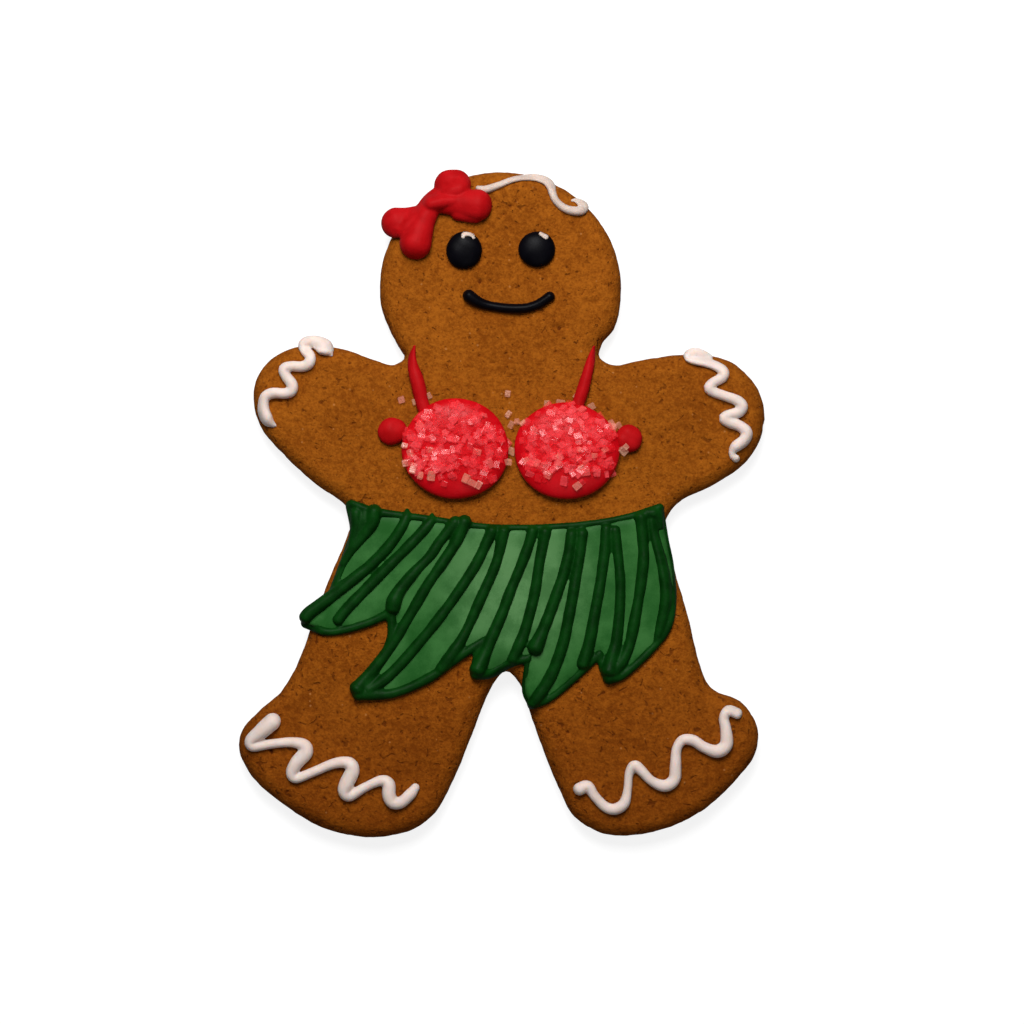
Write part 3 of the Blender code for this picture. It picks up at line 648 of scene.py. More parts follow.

# %% [markdown]
# ## Finish of the icing
#
# Set royal icing is opaque and satin: it has faint cloudy patches, tiny pores and a soft sheen. Every
# colour of icing shares that, so one shader group gives the clouds, the roughness and the pores, and each
# colour puts its own two tones and strengths in. Light goes a little way into the white. The thin green
# sheet has a painted highlight: its middle is paler, a painted reflection of the key light.

# %% Icing finishes
def icing_skin():
    """Group that gives clouds, roughness and pores for a set icing."""
    inputs = {"Place": "vector", "Cloud Size": 3.0, "Sheen Low": 0.35, "Sheen High": 0.5}
    outputs = {"Clouds": float, "Roughness": float, "Height": float}
    tree, given, result = group_tree("icing skin", "ShaderNodeTree", inputs, outputs)
    scale = calc(tree, "DIVIDE", 1.0, given["Cloud Size"])
    clouds = noise(tree, given["Place"], scale, 4.0, 0.55)
    pores = noise(tree, given["Place"], 3.2, 3.0, 0.6)
    tone = calc(tree, "ADD", calc(tree, "MULTIPLY", clouds, 0.8), calc(tree, "MULTIPLY", pores, 0.2))
    tree.links.new(ramp(tree, tone, 0.33, 0.67), result["Clouds"])
    span = node(tree, "ShaderNodeMapRange", None, {"Value": pores, "To Min": given["Sheen Low"],
                                                   "To Max": given["Sheen High"]})
    tree.links.new(span.outputs[0], result["Roughness"])
    tree.links.new(calc(tree, "ADD", calc(tree, "MULTIPLY", pores, 0.5), clouds), result["Height"])
    return tree


ICING_SKIN = icing_skin()
# painted highlight: the green sheet is paler around this middle, a painted reflection of the key light
HIGHLIGHT_MIDDLE = (3.0, -16.0, 8.0)
HIGHLIGHT_REACH = (22.0, 4.0)
HIGHLIGHT_CLOUDS = (0.0, 1.0, 0.45, 1.0)
LIGHT_REACH = 1.1
LIGHT_SPREAD = (1.0, 0.6, 0.4)


def icing(name, dark, light, gloss, sheen=(0.4, 0.56), cloud_size=3.0, bump=0.1, softness=0.0, painted_highlight=None):
    """Icing in one colour, between a darker and a lighter tone, and an optional painted highlight for its
    middle.
    """
    made, tree, shader = new_finish(name, sheen[0], gloss)
    place = surface_place(tree)
    skin = node(tree, "ShaderNodeGroup", {"node_tree": ICING_SKIN},
                {"Place": place, "Cloud Size": cloud_size, "Sheen Low": sheen[0], "Sheen High": sheen[1]})
    colour = blend(tree, skin.outputs["Clouds"], dark, light)
    # painted highlight in the middle of the sheet
    if painted_highlight:
        away = vector_calc(tree, "DISTANCE", place, HIGHLIGHT_MIDDLE)
        streaks = ramp(tree, skin.outputs["Clouds"], *HIGHLIGHT_CLOUDS)
        share = calc(tree, "MULTIPLY", ramp(tree, away, *HIGHLIGHT_REACH), streaks)
        colour = blend(tree, share, colour, painted_highlight)
    tree.links.new(colour, shader.inputs["Base Color"])
    tree.links.new(skin.outputs["Roughness"], shader.inputs["Roughness"])
    lumps = node(tree, "ShaderNodeBump", None,
                 {"Strength": bump, "Distance": 0.3 * MM, "Height": skin.outputs["Height"]})
    tree.links.new(lumps.outputs[0], shader.inputs["Normal"])
    shader.inputs["Subsurface Weight"].default_value = softness
    shader.inputs["Subsurface Scale"].default_value = LIGHT_REACH * MM
    shader.inputs["Subsurface Radius"].default_value = LIGHT_SPREAD
    return made


WHITE = icing("white_icing", (0.69, 0.575, 0.52, 1), (0.78, 0.66, 0.605, 1), 0.12, softness=0.6)
THIN_WHITE = icing("thin_white_icing", (0.52, 0.41, 0.355, 1), (0.63, 0.51, 0.445, 1), 0.1, softness=0.3)
RED = icing("red_icing", (0.35, 0.0026, 0.0040, 1), (0.43, 0.0050, 0.0072, 1), 0.04, (0.45, 0.6))
CUP_RED = icing("cup_red_icing", (0.45, 0.001, 0.004, 1), (0.55, 0.003, 0.008, 1), 0.12, (0.25, 0.4))
# the green's paler middle colour is a painted highlight
GREEN = icing("green_icing", (0.012, 0.085, 0.012, 1), (0.034, 0.140, 0.030, 1), 0.08, cloud_size=6.0,
              painted_highlight=(0.090, 0.220, 0.076, 1))
DARK_GREEN = icing("dark_green_icing", (0.0010, 0.023, 0.0014, 1), (0.0026, 0.042, 0.0034, 1), 0.06,
                   bump=0.25)
BLACK = icing("black_icing", (0.0010, 0.0009, 0.0018, 1), (0.0022, 0.0020, 0.0036, 1), 0.05, (0.34, 0.46))
print("icing colours:", len([m for m in bpy.data.materials if m.name.endswith("icing")]))

# %% [markdown]
# ## Piped ropes
#
# A line of icing leaves the cone round, sinks a little where it lands, and ends in a round blob. The shape
# tree sweeps a circle with a flattened foot along a curve, whose own radius at each point carries the width
# and the round ends. Slow noise makes the hand's uneven pressure. A voxel remesh then melts the places
# where a rope meets itself or another one, and a few rounds of smoothing round the seam as wet icing does.

# %% Rope tree
FOOT = math.sin(math.radians(-26))
SINK = 0.15
RIM_DROOP = 1.7


def rope_tree():
    """Shape tree that sweeps a round section with a flat foot along curves."""
    inputs = {"Geometry": "shape", "Height": 2.0, "Sides": 20, "Wobble": 0.06, "Wobble Size": 4.0,
              "Seed": 0, "Material": "material"}
    tree, given, result = group_tree("piped rope", "GeometryNodeTree", inputs, {"Geometry": "shape"})
    circle = node(tree, "GeometryNodeCurvePrimitiveCircle", None,
                  {"Resolution": given["Sides"], "Radius": 1.0})
    place = node(tree, "GeometryNodeInputPosition").outputs[0]
    above = calc(tree, "SUBTRACT", calc(tree, "MAXIMUM", split(tree, place, "Y"), FOOT), FOOT)
    rise = calc(tree, "MULTIPLY", above, calc(tree, "DIVIDE", given["Height"], FOOT - 1))
    side = calc(tree, "MULTIPLY", split(tree, place, "X"), -1.0)
    flat = node(tree, "ShaderNodeCombineXYZ", None, {0: side, 1: rise}).outputs[0]
    section = node(tree, "GeometryNodeSetPosition", None, {"Geometry": circle.outputs[0], "Position": flat})

    slow = vector_calc(tree, "SCALE", place, calc(tree, "DIVIDE", 1.0, given["Wobble Size"]))
    own = calc(tree, "MULTIPLY", given["Seed"], 7.3)
    swing = node(tree, "ShaderNodeTexNoise", {"noise_dimensions": "4D"},
                 {"Vector": slow, "W": own, "Scale": 1.0, "Detail": 1.0})
    swing = calc(tree, "SUBTRACT", swing.outputs["Fac"], 0.5)
    swing = calc(tree, "MULTIPLY", given["Wobble"], 4.0, swing)
    radius = node(tree, "GeometryNodeInputRadius").outputs[0]
    width = calc(tree, "MULTIPLY", radius, calc(tree, "ADD", swing, 1.0))
    upright = node(tree, "GeometryNodeSetCurveNormal", {"mode": "Z_UP"}, {0: given["Geometry"]})
    swept = node(tree, "GeometryNodeCurveToMesh", None,
                 {"Curve": upright.outputs[0], "Profile Curve": section.outputs[0], "Scale": width,
                  "Fill Caps": True})
    return close_shape(tree, given, result, swept.outputs[0])


ROPE = rope_tree()
print("inputs of the rope tree:", len([s for s in ROPE.interface.items_tree if s.in_out == "INPUT"]))

# %% Ropes along curves
STEP = 0.4
CAP_ANGLES = (2, 12, 24, 37, 50, 63, 76, 90)


def add_spline(data, line):
    """One rope's curve: it runs on into round ends, and each point has its half width."""
    ends = []
    for tip, inner in ((line[0], line[1]), (line[-1], line[-2])):
        way = (tip - inner)[:2]
        ends.append([*(tip[:2] + way / np.linalg.norm(way) * tip[2]), tip[2]])
    line = np.vstack([ends[:1], line, ends[1:]])
    along = lengths_along(line[:, :2])
    cap = 1 - np.cos(np.radians(CAP_ANGLES))
    before = line[0, 2] * cap
    after = along[-1] - line[-1, 2] * cap[::-1]
    count = max(2, math.ceil((after[0] - before[-1]) / STEP))
    places = np.concatenate([before, np.linspace(before[-1], after[0], count + 1)[1:-1], after])
    x, y, half = (np.interp(places, along, line[:, axis]) for axis in (0, 1, 2))
    to_tip = np.minimum(places / line[0, 2], (along[-1] - places) / line[-1, 2])
    half = half * np.sqrt(1 - np.clip(1 - to_tip, 0, 1) ** 2)
    spline = data.splines.new("POLY")
    spline.points.add(len(places) - 1)
    for point, px, py, radius in zip(spline.points, x, y, half):
        point.co = (px, py, 0, 1)
        point.radius = radius


def rope_mesh(name, lines, height, finish, wobble=0.06, seed=1, extra=0.0):
    """Ropes at zero height; the widest place is the highest, and extra makes all of them wider."""
    data = bpy.data.curves.new(name, "CURVE")
    data.dimensions = "3D"
    curves = [smooth_line(line) + (0, 0, extra) for line in lines]
    for curve in curves:
        add_spline(data, curve)
    widest = max(curve[:, 2].max() for curve in curves)
    values = {"Height": height / widest, "Wobble": wobble, "Seed": seed, "Material": finish}
    return shape_with(new_object(name, data), ROPE, values)


# %% Lay ropes down and melt them together
def settle(item, lift=-SINK, droop=RIM_DROOP):
    """Lay a piece on the dough, drooping a little where it passes the rim."""
    points = coordinates(item.data)
    rest = np.maximum(crust_height(points[:, :2]), TOP - droop)
    points[:, 2] += rest + lift
    set_coordinates(item.data, points)
    return item


def ropes(name, lines, height, finish, droop=RIM_DROOP, wobble=0.06, seed=1, extra=0.0):
    """Ropes laid on the dough."""
    return settle(rope_mesh(name, lines, height, finish, wobble, seed, extra), droop=droop)


def melt(name, items, voxel, rounds):
    """Join pieces into one closed skin and round the seams between them."""
    work = bmesh.new()
    for item in items:
        work.from_mesh(item.data)
    mesh = items[0].data.copy()
    work.to_mesh(mesh)
    work.free()
    for item in items:
        bpy.data.objects.remove(item, do_unlink=True)
    made = new_object(name, mesh)
    remesh = made.modifiers.new("skin", "REMESH")
    remesh.mode = "VOXEL"
    remesh.voxel_size = voxel
    smooth = made.modifiers.new("seams", "SMOOTH")
    smooth.factor = 0.5
    smooth.iterations = rounds
    return bake_modifiers(made)


# %% [markdown]
# ## White trims
#
# Each hand and foot has a zigzag of white icing, and a longer one runs over the head as hair. The hand
# starts fat, presses harder on one stroke of each zigzag than on the other, and lifts off with a thin tip.
# The hair is piped so thin that the brown shows through it a little.

# %% White zigzags
TRIMS = {
    "cuff_left": [
        (-35.5, 31.2, 0.35), (-36.0, 31.9, 1.2), (-36.9, 32.8, 1.75), (-38.3, 33.7, 1.5),
        (-40.1, 34.1, 1.15), (-41.4, 33.5, 1.1), (-41.0, 32.2, 1.05), (-39.9, 30.9, 1.1),
        (-40.1, 29.4, 1.15), (-41.6, 28.7, 1.1), (-43.8, 28.8, 1.05), (-45.4, 28.2, 1.1),
        (-44.9, 26.7, 1.05), (-43.7, 25.0, 1.15), (-43.8, 23.6, 1.15), (-45.2, 23.1, 1.1),
        (-47.5, 23.2, 1.1), (-49.2, 22.5, 1.1), (-49.7, 21.0, 1.15), (-49.6, 19.2, 1.3),
        (-48.8, 17.5, 1.25), (-47.7, 16.6, 0.6), (-47.2, 16.4, 0.3),
    ],
    "cuff_right": [
        (43.6, 30.7, 0.8), (42.0, 31.4, 1.0), (40.5, 31.7, 1.05), (39.2, 31.0, 1.1), (40.5, 30.2, 1.05),
        (42.6, 29.7, 1.0), (44.9, 28.9, 1.05), (46.5, 27.7, 1.15), (46.2, 26.4, 1.1), (44.4, 25.4, 1.0),
        (43.5, 24.2, 1.15), (44.7, 23.3, 1.05), (47.0, 22.5, 1.0), (49.4, 21.6, 1.1), (50.4, 20.4, 1.2),
        (49.7, 19.2, 1.15), (47.6, 18.6, 1.05), (46.6, 17.9, 1.15), (47.8, 17.0, 1.1), (49.9, 16.3, 1.1),
        (51.4, 14.9, 1.2), (50.8, 13.3, 1.2), (49.1, 12.0, 1.15), (48.4, 11.0, 0.8), (48.5, 10.0, 0.7),
        (49.2, 9.5, 0.8),
    ],
    "foot_trim_left": [
        (-47.8, -45.5, 1.75), (-50.2, -47.6, 1.55), (-52.4, -49.5, 1.2), (-51.8, -50.7, 1.05),
        (-48.3, -50.2, 0.95), (-44.0, -49.8, 1.0), (-41.2, -50.4, 1.3), (-40.8, -51.9, 1.45),
        (-42.7, -54.1, 1.4), (-43.7, -56.2, 1.2), (-42.7, -57.3, 1.05), (-39.2, -56.0, 0.95),
        (-34.8, -54.2, 1.05), (-31.9, -54.1, 1.3), (-31.0, -55.6, 1.45), (-32.1, -58.1, 1.5),
        (-32.7, -60.0, 1.35), (-31.6, -61.0, 1.15), (-28.4, -59.2, 0.95), (-25.1, -57.8, 1.05),
        (-23.5, -58.5, 1.3), (-23.4, -60.8, 1.4), (-22.6, -62.4, 1.3), (-20.8, -62.3, 1.2),
        (-18.9, -60.6, 1.15), (-17.9, -59.3, 0.85),
    ],
    "foot_trim_right": [
        (16.4, -59.6, 1.3), (18.1, -59.0, 1.15), (19.6, -61.1, 1.0), (21.8, -63.3, 1.05),
        (23.9, -63.8, 1.15), (25.8, -62.5, 1.1), (26.5, -59.5, 0.85), (26.8, -56.3, 0.9),
        (27.9, -54.7, 1.15), (29.3, -55.7, 1.05), (31.5, -57.9, 1.0), (34.2, -58.9, 1.2),
        (36.2, -57.6, 1.25), (36.5, -54.7, 1.15), (36.7, -51.4, 1.0), (37.9, -49.4, 1.05),
        (40.1, -49.4, 1.1), (42.5, -50.9, 1.1), (45.2, -51.7, 1.35), (47.1, -50.3, 1.35),
        (47.0, -47.1, 1.15), (46.6, -44.7, 1.0), (47.6, -43.2, 1.05), (49.4, -43.8, 1.1),
    ],
    "hair_line": [
        (-4.8, 66.1, 0.5), (-3.4, 65.7, 0.8), (-1.7, 66.2, 0.75), (0.1, 66.9, 0.68), (2.5, 67.9, 0.65),
        (4.9, 68.4, 0.65), (7.3, 68.4, 0.75), (9.4, 67.7, 0.9), (10.4, 66.6, 0.95), (10.8, 65.0, 0.78),
        (11.5, 63.4, 0.75), (13.2, 61.9, 0.82), (15.3, 61.3, 0.9), (16.9, 61.5, 0.95), (17.5, 62.4, 0.85),
        (16.5, 63.2, 0.75), (15.6, 63.7, 0.5), (14.9, 63.6, 0.3),
    ],
}
TRIM_TALL = 1.75
TRIM_LOSS = 0.05
TRIM_MELT = 2
ROPE_VOXEL = 0.22

for order, (trim, line) in enumerate(TRIMS.items()):
    finish = THIN_WHITE if trim == "hair_line" else WHITE
    tall = TRIM_TALL * max(half for x, y, half in line)
    piped = ropes(trim + "_rope", [line], tall, finish, wobble=0.04, seed=order, extra=TRIM_LOSS)
    hand_over(melt(trim + "_icing", [piped], ROPE_VOXEL, TRIM_MELT), "white_icing", trim)

# %% [markdown]
# ## Skirt
#
# The skirt is piped in three goes. A rope goes round its outline, thinned icing floods the inside and sets
# as a flat sheet, and more ropes are piped over the sheet as blades of grass. Outline and blades are one
# colour and run into each other, so they are melted into one piece; the sheet stays apart, because its
# green is lighter.

# %% Outline and blades of the skirt
HEM = [
    [(-31.3, -0.4, 1.15), (-25.4, -1.8, 0.8), (-14.5, -3.2, 0.6), (-6.3, -4.5, 0.6), (2.0, -5.0, 0.6),
     (11.0, -4.8, 0.6), (18.8, -4.1, 0.6), (26.3, -2.8, 0.65), (33.2, -0.9, 0.9)],
    [(33.2, -0.9, 0.8), (34.5, -7.4, 0.6), (35.6, -13.0, 0.6), (36.0, -19.5, 0.65), (34.8, -26.0, 0.75),
     (30.3, -31.5, 0.8), (25.5, -35.6, 0.9), (22.6, -36.3, 1.3)],
    [(22.6, -36.3, 1.2), (21.3, -34.2, 0.75), (20.7, -31.2, 0.7)],
    [(20.7, -31.2, 0.75), (16.8, -35.0, 0.75), (10.8, -40.2, 0.7), (6.4, -42.2, 0.8)],
    [(6.4, -42.2, 0.65), (5.0, -38.8, 0.55), (5.7, -32.2, 0.55)],
    [(5.7, -32.2, 0.8), (2.2, -33.2, 0.9), (-2.0, -35.4, 1.0), (-5.0, -35.3, 1.4)],
    [(-5.0, -35.3, 1.3), (-4.9, -32.0, 0.85), (-3.4, -28.4, 0.8)],
    [(-3.4, -28.4, 0.8), (-8.5, -31.7, 0.9), (-15.2, -36.4, 0.95), (-22.6, -39.5, 0.95), (-29.6, -39.6, 1.4)],
    [(-29.6, -39.6, 1.3), (-25.5, -33.5, 0.9), (-22.9, -28.0, 0.9), (-22.9, -22.6, 0.9)],
    [(-22.9, -22.6, 0.9), (-28.3, -25.0, 0.8), (-35.8, -26.7, 0.8), (-40.8, -24.9, 1.1)],
    [(-40.8, -24.9, 1.1), (-36.5, -20.6, 0.8), (-34.4, -16.0, 0.7), (-32.0, -9.7, 0.8), (-30.7, -5.5, 0.9),
     (-31.3, -0.4, 1.2)],
]
BLADES = [
    [(-30.2, -1.8, 1.2), (-30.3, -5.0, 1.1), (-31.1, -8.4, 0.8)],
    [(-28.6, -2.0, 1.0), (-28.8, -3.8, 1.1), (-30.2, -6.6, 0.9)],
    [(30.4, -1.9, 1.0), (32.5, -2.2, 1.1), (33.3, -4.8, 0.7)],
    [(-26.5, -1.5, 1.4), (-27.0, -4.1, 1.35), (-29.1, -6.9, 1.2), (-31.3, -9.7, 0.95), (-33.0, -12.5, 0.7)],
    [(-19.6, -1.2, 0.3), (-19.7, -2.6, 0.9), (-20.9, -5.2, 1.15), (-23.5, -8.9, 1.15), (-27.2, -12.7, 1.15),
     (-31.7, -16.4, 1.2), (-36.5, -20.1, 1.25), (-39.9, -22.6, 1.35), (-40.8, -23.6, 1.35)],
    [(-14.4, -2.2, 0.3), (-14.6, -3.6, 0.95), (-17.1, -6.5, 1.15), (-20.9, -10.4, 1.1), (-24.6, -14.1, 1.15),
     (-28.3, -17.9, 1.15), (-32.1, -21.8, 1.2), (-34.0, -24.2, 1.2)],
    [(-9.5, -3.8, 1.2), (-12.7, -7.8, 1.1), (-14.9, -11.0, 1.05), (-17.9, -14.1, 1.1), (-20.9, -17.7, 1.25),
     (-22.2, -20.1, 1.5), (-22.6, -21.8, 1.4)],
    [(-7.6, -3.7, 1.35), (-9.3, -7.8, 1.2), (-11.9, -11.9, 1.1), (-15.3, -16.9, 1.1), (-19.6, -24.2, 1.1),
     (-22.9, -29.6, 1.1), (-26.1, -33.9, 1.1), (-28.9, -37.1, 1.2), (-29.9, -38.5, 1.6)],
    [(-1.9, -5.6, 1.15), (-5.1, -12.4, 1.1), (-9.7, -19.5, 1.1), (-14.2, -25.5, 1.1), (-18.9, -31.1, 1.15),
     (-22.2, -34.7, 1.15), (-24.8, -37.0, 1.15), (-27.6, -38.8, 1.2)],
    [(0.6, -5.7, 1.2), (-1.0, -12.4, 1.05), (-4.1, -19.5, 1.1), (-7.5, -27.0, 1.1), (-9.9, -30.9, 1.2),
     (-12.6, -34.4, 1.1)],
    [(6.6, -5.6, 1.1), (5.2, -10.2, 1.1), (1.9, -18.4, 1.1), (0.2, -23.0, 1.15), (-2.4, -29.0, 1.2),
     (-4.0, -32.8, 1.45), (-4.8, -34.5, 1.7)],
    [(9.3, -5.8, 1.15), (8.1, -12.0, 1.05), (7.1, -18.4, 1.1), (5.2, -25.9, 1.15), (3.6, -30.0, 1.2),
     (2.4, -32.6, 1.1)],
    [(14.8, -6.2, 1.15), (14.1, -10.8, 1.15), (12.6, -16.0, 1.1), (10.4, -22.2, 1.15), (8.5, -27.0, 1.3),
     (7.2, -30.1, 1.6)],
    [(17.0, -6.1, 1.15), (16.4, -10.8, 1.1), (15.4, -16.8, 1.1), (14.4, -22.4, 1.1), (12.9, -29.4, 1.15),
     (10.6, -35.6, 1.25), (7.6, -40.4, 1.3), (6.5, -41.7, 1.0)],
    [(22.0, -5.2, 1.15), (21.6, -10.4, 1.15), (20.7, -16.8, 1.1), (19.5, -23.3, 1.15), (18.4, -29.2, 1.2),
     (17.1, -33.4, 1.3)],
    [(23.8, -5.5, 1.1), (24.4, -10.4, 1.05), (24.9, -16.0, 1.05), (24.8, -22.0, 1.1), (24.1, -28.5, 1.15),
     (23.1, -32.6, 1.35), (22.6, -34.7, 1.7)],
    [(29.2, -2.8, 1.3), (29.6, -7.4, 1.15), (29.8, -11.2, 1.15), (29.2, -16.8, 1.1), (28.1, -23.4, 1.15),
     (26.9, -29.2, 1.15), (25.4, -32.6, 1.2), (23.6, -34.9, 1.3)],
    [(31.5, -3.5, 0.95), (32.4, -7.8, 1.0), (33.6, -12.3, 1.1), (34.3, -16.4, 1.15), (34.4, -20.5, 1.15),
     (33.6, -24.2, 1.1), (32.8, -27.4, 0.9), (32.2, -29.2, 0.6)],
]
SHEET_TOP = 1.1
SHEET_DROOP = 0.1
HEM_TALL = 2.7
BLADE_TALL = 3.4
SKIRT_LOSS = 0.14
SKIRT_VOXEL = 0.26
SKIRT_MELT = 3

hem = ropes("hem", HEM, HEM_TALL, DARK_GREEN, seed=11, extra=SKIRT_LOSS)
blades = ropes("blades", BLADES, BLADE_TALL, DARK_GREEN, droop=SHEET_DROOP, seed=12, extra=SKIRT_LOSS)
skirt_ropes = melt("skirt_piping_icing", [hem, blades], SKIRT_VOXEL, SKIRT_MELT)
hand_over(skirt_ropes, "dark_green_icing", "skirt_piping")

# %% [markdown]
# The flooded sheet reaches to the middle of the outline rope. Thin icing creeps up to a rope but its skin
# stays lower there, so the sheet slopes down at its edge. It is filled with a fine grid and thickened with
# Solidify, and slow waves give it the faint swells of icing that set while it settled.

# %% Flooded sheet
SHEET_GRID = 0.9
SHEET_SWELL = 0.10
SWELL_SIZE = 9.0
EDGE_DROP = 0.5
EDGE_WIDTH = 0.7


def wavering(points, size, strength, seed):
    """Smooth unevenness from a few crossed waves, the same on each run."""
    rng = np.random.default_rng(seed)
    total = np.zeros(len(points))
    for _ in range(7):
        way = rng.uniform(0, math.tau)
        pace = math.tau / (size * rng.uniform(0.7, 1.6))
        along = points[:, 0] * math.cos(way) + points[:, 1] * math.sin(way)
        total += np.sin(along * pace + rng.uniform(0, 6))
    return total / 3 * strength


hem_loop = np.vstack([smooth_line(arc, 8)[:-1, :2] for arc in HEM])[::-1]
flat, triangles = fill_loop(hem_loop, SHEET_GRID)
edge_fall = EDGE_DROP * np.exp(-np.abs(loop_distance(flat, hem_loop)) / EDGE_WIDTH)
skin = wavering(flat, SWELL_SIZE, SHEET_SWELL, seed=3) - edge_fall
sheet = mesh_object("sheet", np.column_stack([flat, skin]), triangles)
if sheet.data.polygons[0].normal.z < 0:
    sheet.data.flip_normals()
settle(sheet, SHEET_TOP, SHEET_DROOP)
thick = sheet.modifiers.new("thickness", "SOLIDIFY")
thick.thickness = SHEET_TOP + SINK
thick.offset = -1
sheet.data.materials.append(GREEN)
sheet = bake_modifiers(sheet)
sheet.name = "skirt_flood_icing"
hand_over(sheet, "green_icing", "skirt_flood")

# %% [markdown]
# ## Domes
#
# Eyes, beads and cups are blobs squeezed out in one place. A sphere with its foot cut flat is a good start;
# the hand leaves it a little out of round and lumpy, so waves bend its outline and its skin.

# %% Ball to start from
def ball(around, rings):
    """Points and faces of a ball, always in the same order, because scattered sugar depends on it."""
    points = [(0, 0, 1)]
    for ring in range(1, rings):
        tilt = math.pi * ring / rings
        for k in range(around):
            turn = math.tau * k / around
            points.append((math.sin(tilt) * math.cos(turn), math.sin(tilt) * math.sin(turn), math.cos(tilt)))
    points.append((0, 0, -1))
    last = 1 + (rings - 2) * around
    faces = []
    for k in range(around):
        j = (k + 1) % around
        faces.append((0, 1 + k, 1 + j))
        for top in range(1, last, around):
            faces.append((top + k, top + around + k, top + around + j, top + j))
        faces.append((last + k, len(points) - 1, last + j))
    return points, faces


# %% Dome of icing
LUMP_SIZE = 1.1
BULGES = (2, 3, 5)


def dome(name, centre, radii, height, finish, fullness=1.0, lumps=0.03, seed=1, around=72, rings=36):
    """Blob with a flat foot; fullness above 1 makes steeper shoulders."""
    made = mesh_object(name, *ball(around, rings))
    points = coordinates(made.data)
    rng = np.random.default_rng(seed)
    angle = np.arctan2(points[:, 1], points[:, 0])
    bend = sum(np.sin(k * angle + rng.uniform(0, 6)) / k for k in BULGES) * lumps
    points[:, :2] *= (1 + bend)[:, None]
    rise = np.clip((points[:, 2] - FOOT) / (1 - FOOT), 0, 1) ** (1 / fullness)
    points[:, 2] = rise * (height + wavering(points[:, :2], LUMP_SIZE, lumps * height, seed + 50))
    points[:, :2] = points[:, :2] * radii + centre
    set_coordinates(made.data, points)
    made.data.materials.append(finish)
    return settle(made)


# %% [markdown]
# ## Face
#
# The eyes are black domes. Each has a dab of white piped on its upper rim while it was still soft: the left
# one is a small arch open to below, the right one a slanted drop. The mouth is a short black rope with a
# fat start at its left end.

# %% Eyes and mouth
EYES = {"left": ((-7.7, 53.0), (3.75, 3.9)), "right": ((7.5, 53.2), (3.9, 3.7))}
EYE_TOP = 2.4
DABS = {
    "left": [
        (-7.9, 55.7, 0.40), (-7.7, 56.2, 0.55), (-6.8, 56.5, 0.62), (-5.9, 56.1, 0.55), (-5.7, 55.6, 0.36),
    ],
    "right": [(8.3, 56.4, 0.42), (9.4, 55.7, 0.55)],
}
DAB_HEIGHT = 0.6
DAB_SINK = 0.15
MOUTH = [
    (-6.7, 43.5, 1.35), (-5.1, 42.4, 1.2), (-2.7, 41.5, 1.0), (1.3, 40.9, 1.0), (4.9, 40.9, 1.0),
    (7.7, 41.7, 1.0), (10.2, 43.3, 1.1),
]
MOUTH_TALL = 2.5


def drop_on(item, ground, sink):
    """Lower each point of a piece made above zero onto another piece."""
    tree = BVHTree.FromPolygons([tuple(p) for p in coordinates(ground.data)],
                                [tuple(f.vertices) for f in ground.data.polygons])
    points = coordinates(item.data)
    for point in points:
        hit = tree.ray_cast(Vector((point[0], point[1], 50)), Vector((0, 0, -1)))
        rest = hit[0].z if hit[0] else TOP
        point[2] += rest - sink
    set_coordinates(item.data, points)
    return item


for side, (centre, radii) in EYES.items():
    eye = dome("eye_" + side + "_icing", centre, radii, EYE_TOP, BLACK, lumps=0.02, seed=len(side))
    dab = rope_mesh("eye_glint_" + side + "_icing", [DABS[side]], DAB_HEIGHT, THIN_WHITE, seed=3)
    dab = drop_on(dab, eye, DAB_SINK)
    hand_over(eye, "black_icing", "eye_" + side)
    hand_over(dab, "white_icing", "eye_glint_" + side)

mouth = ropes("mouth_icing", [MOUTH], MOUTH_TALL, BLACK, wobble=0.03, seed=8)
hand_over(mouth, "black_icing", "mouth")

# %% [markdown]
# ## Bow
#
# The bow is a few squeezes of red icing that lie over each other: a left loop, a top loop, a right loop
# with a second ridge below it, and a tail that starts in the knot and ends in a drop. They are melted
# together with enough smoothing to look satin, but the creases between the squeezes stay.

# %% Bow on the head
BOW_STROKES = [
    ([(-16.9, 60.3, 2.4), (-19.6, 59.4, 2.9), (-21.9, 58.9, 3.3)], 3.7),
    ([(-10.7, 66.7, 3.4), (-9.6, 66.8, 3.4)], 3.8),
    ([(-13.5, 63.0, 2.2), (-9.0, 62.8, 2.8), (-5.1, 62.4, 3.3)], 3.8),
    ([(-8.8, 61.0, 1.9), (-5.4, 60.6, 2.0)], 2.6),
    ([(-14.8, 62.8, 2.0), (-11.0, 63.2, 1.7), (-6.6, 63.2, 1.3)], 4.2),
    ([(-12.7, 64.5, 2.3), (-14.9, 62.3, 2.5), (-16.5, 58.6, 2.7), (-17.8, 54.5, 3.45)], 4.3),
]
BOW_MELT = 10

strokes = []
for order, (line, tall) in enumerate(BOW_STROKES):
    strokes.append(ropes("stroke", [line], tall, RED, wobble=0.05, seed=order))
hand_over(melt("bow_icing", strokes, ROPE_VOXEL, BOW_MELT), "red_icing", "bow")

# %% [markdown]
# ## Red top
#
# The top has two cups, a strap above each that thins to a point, and a bead at either side. The cups are
# wetter icing than the rest, so they are glossier, and their shoulders are full.

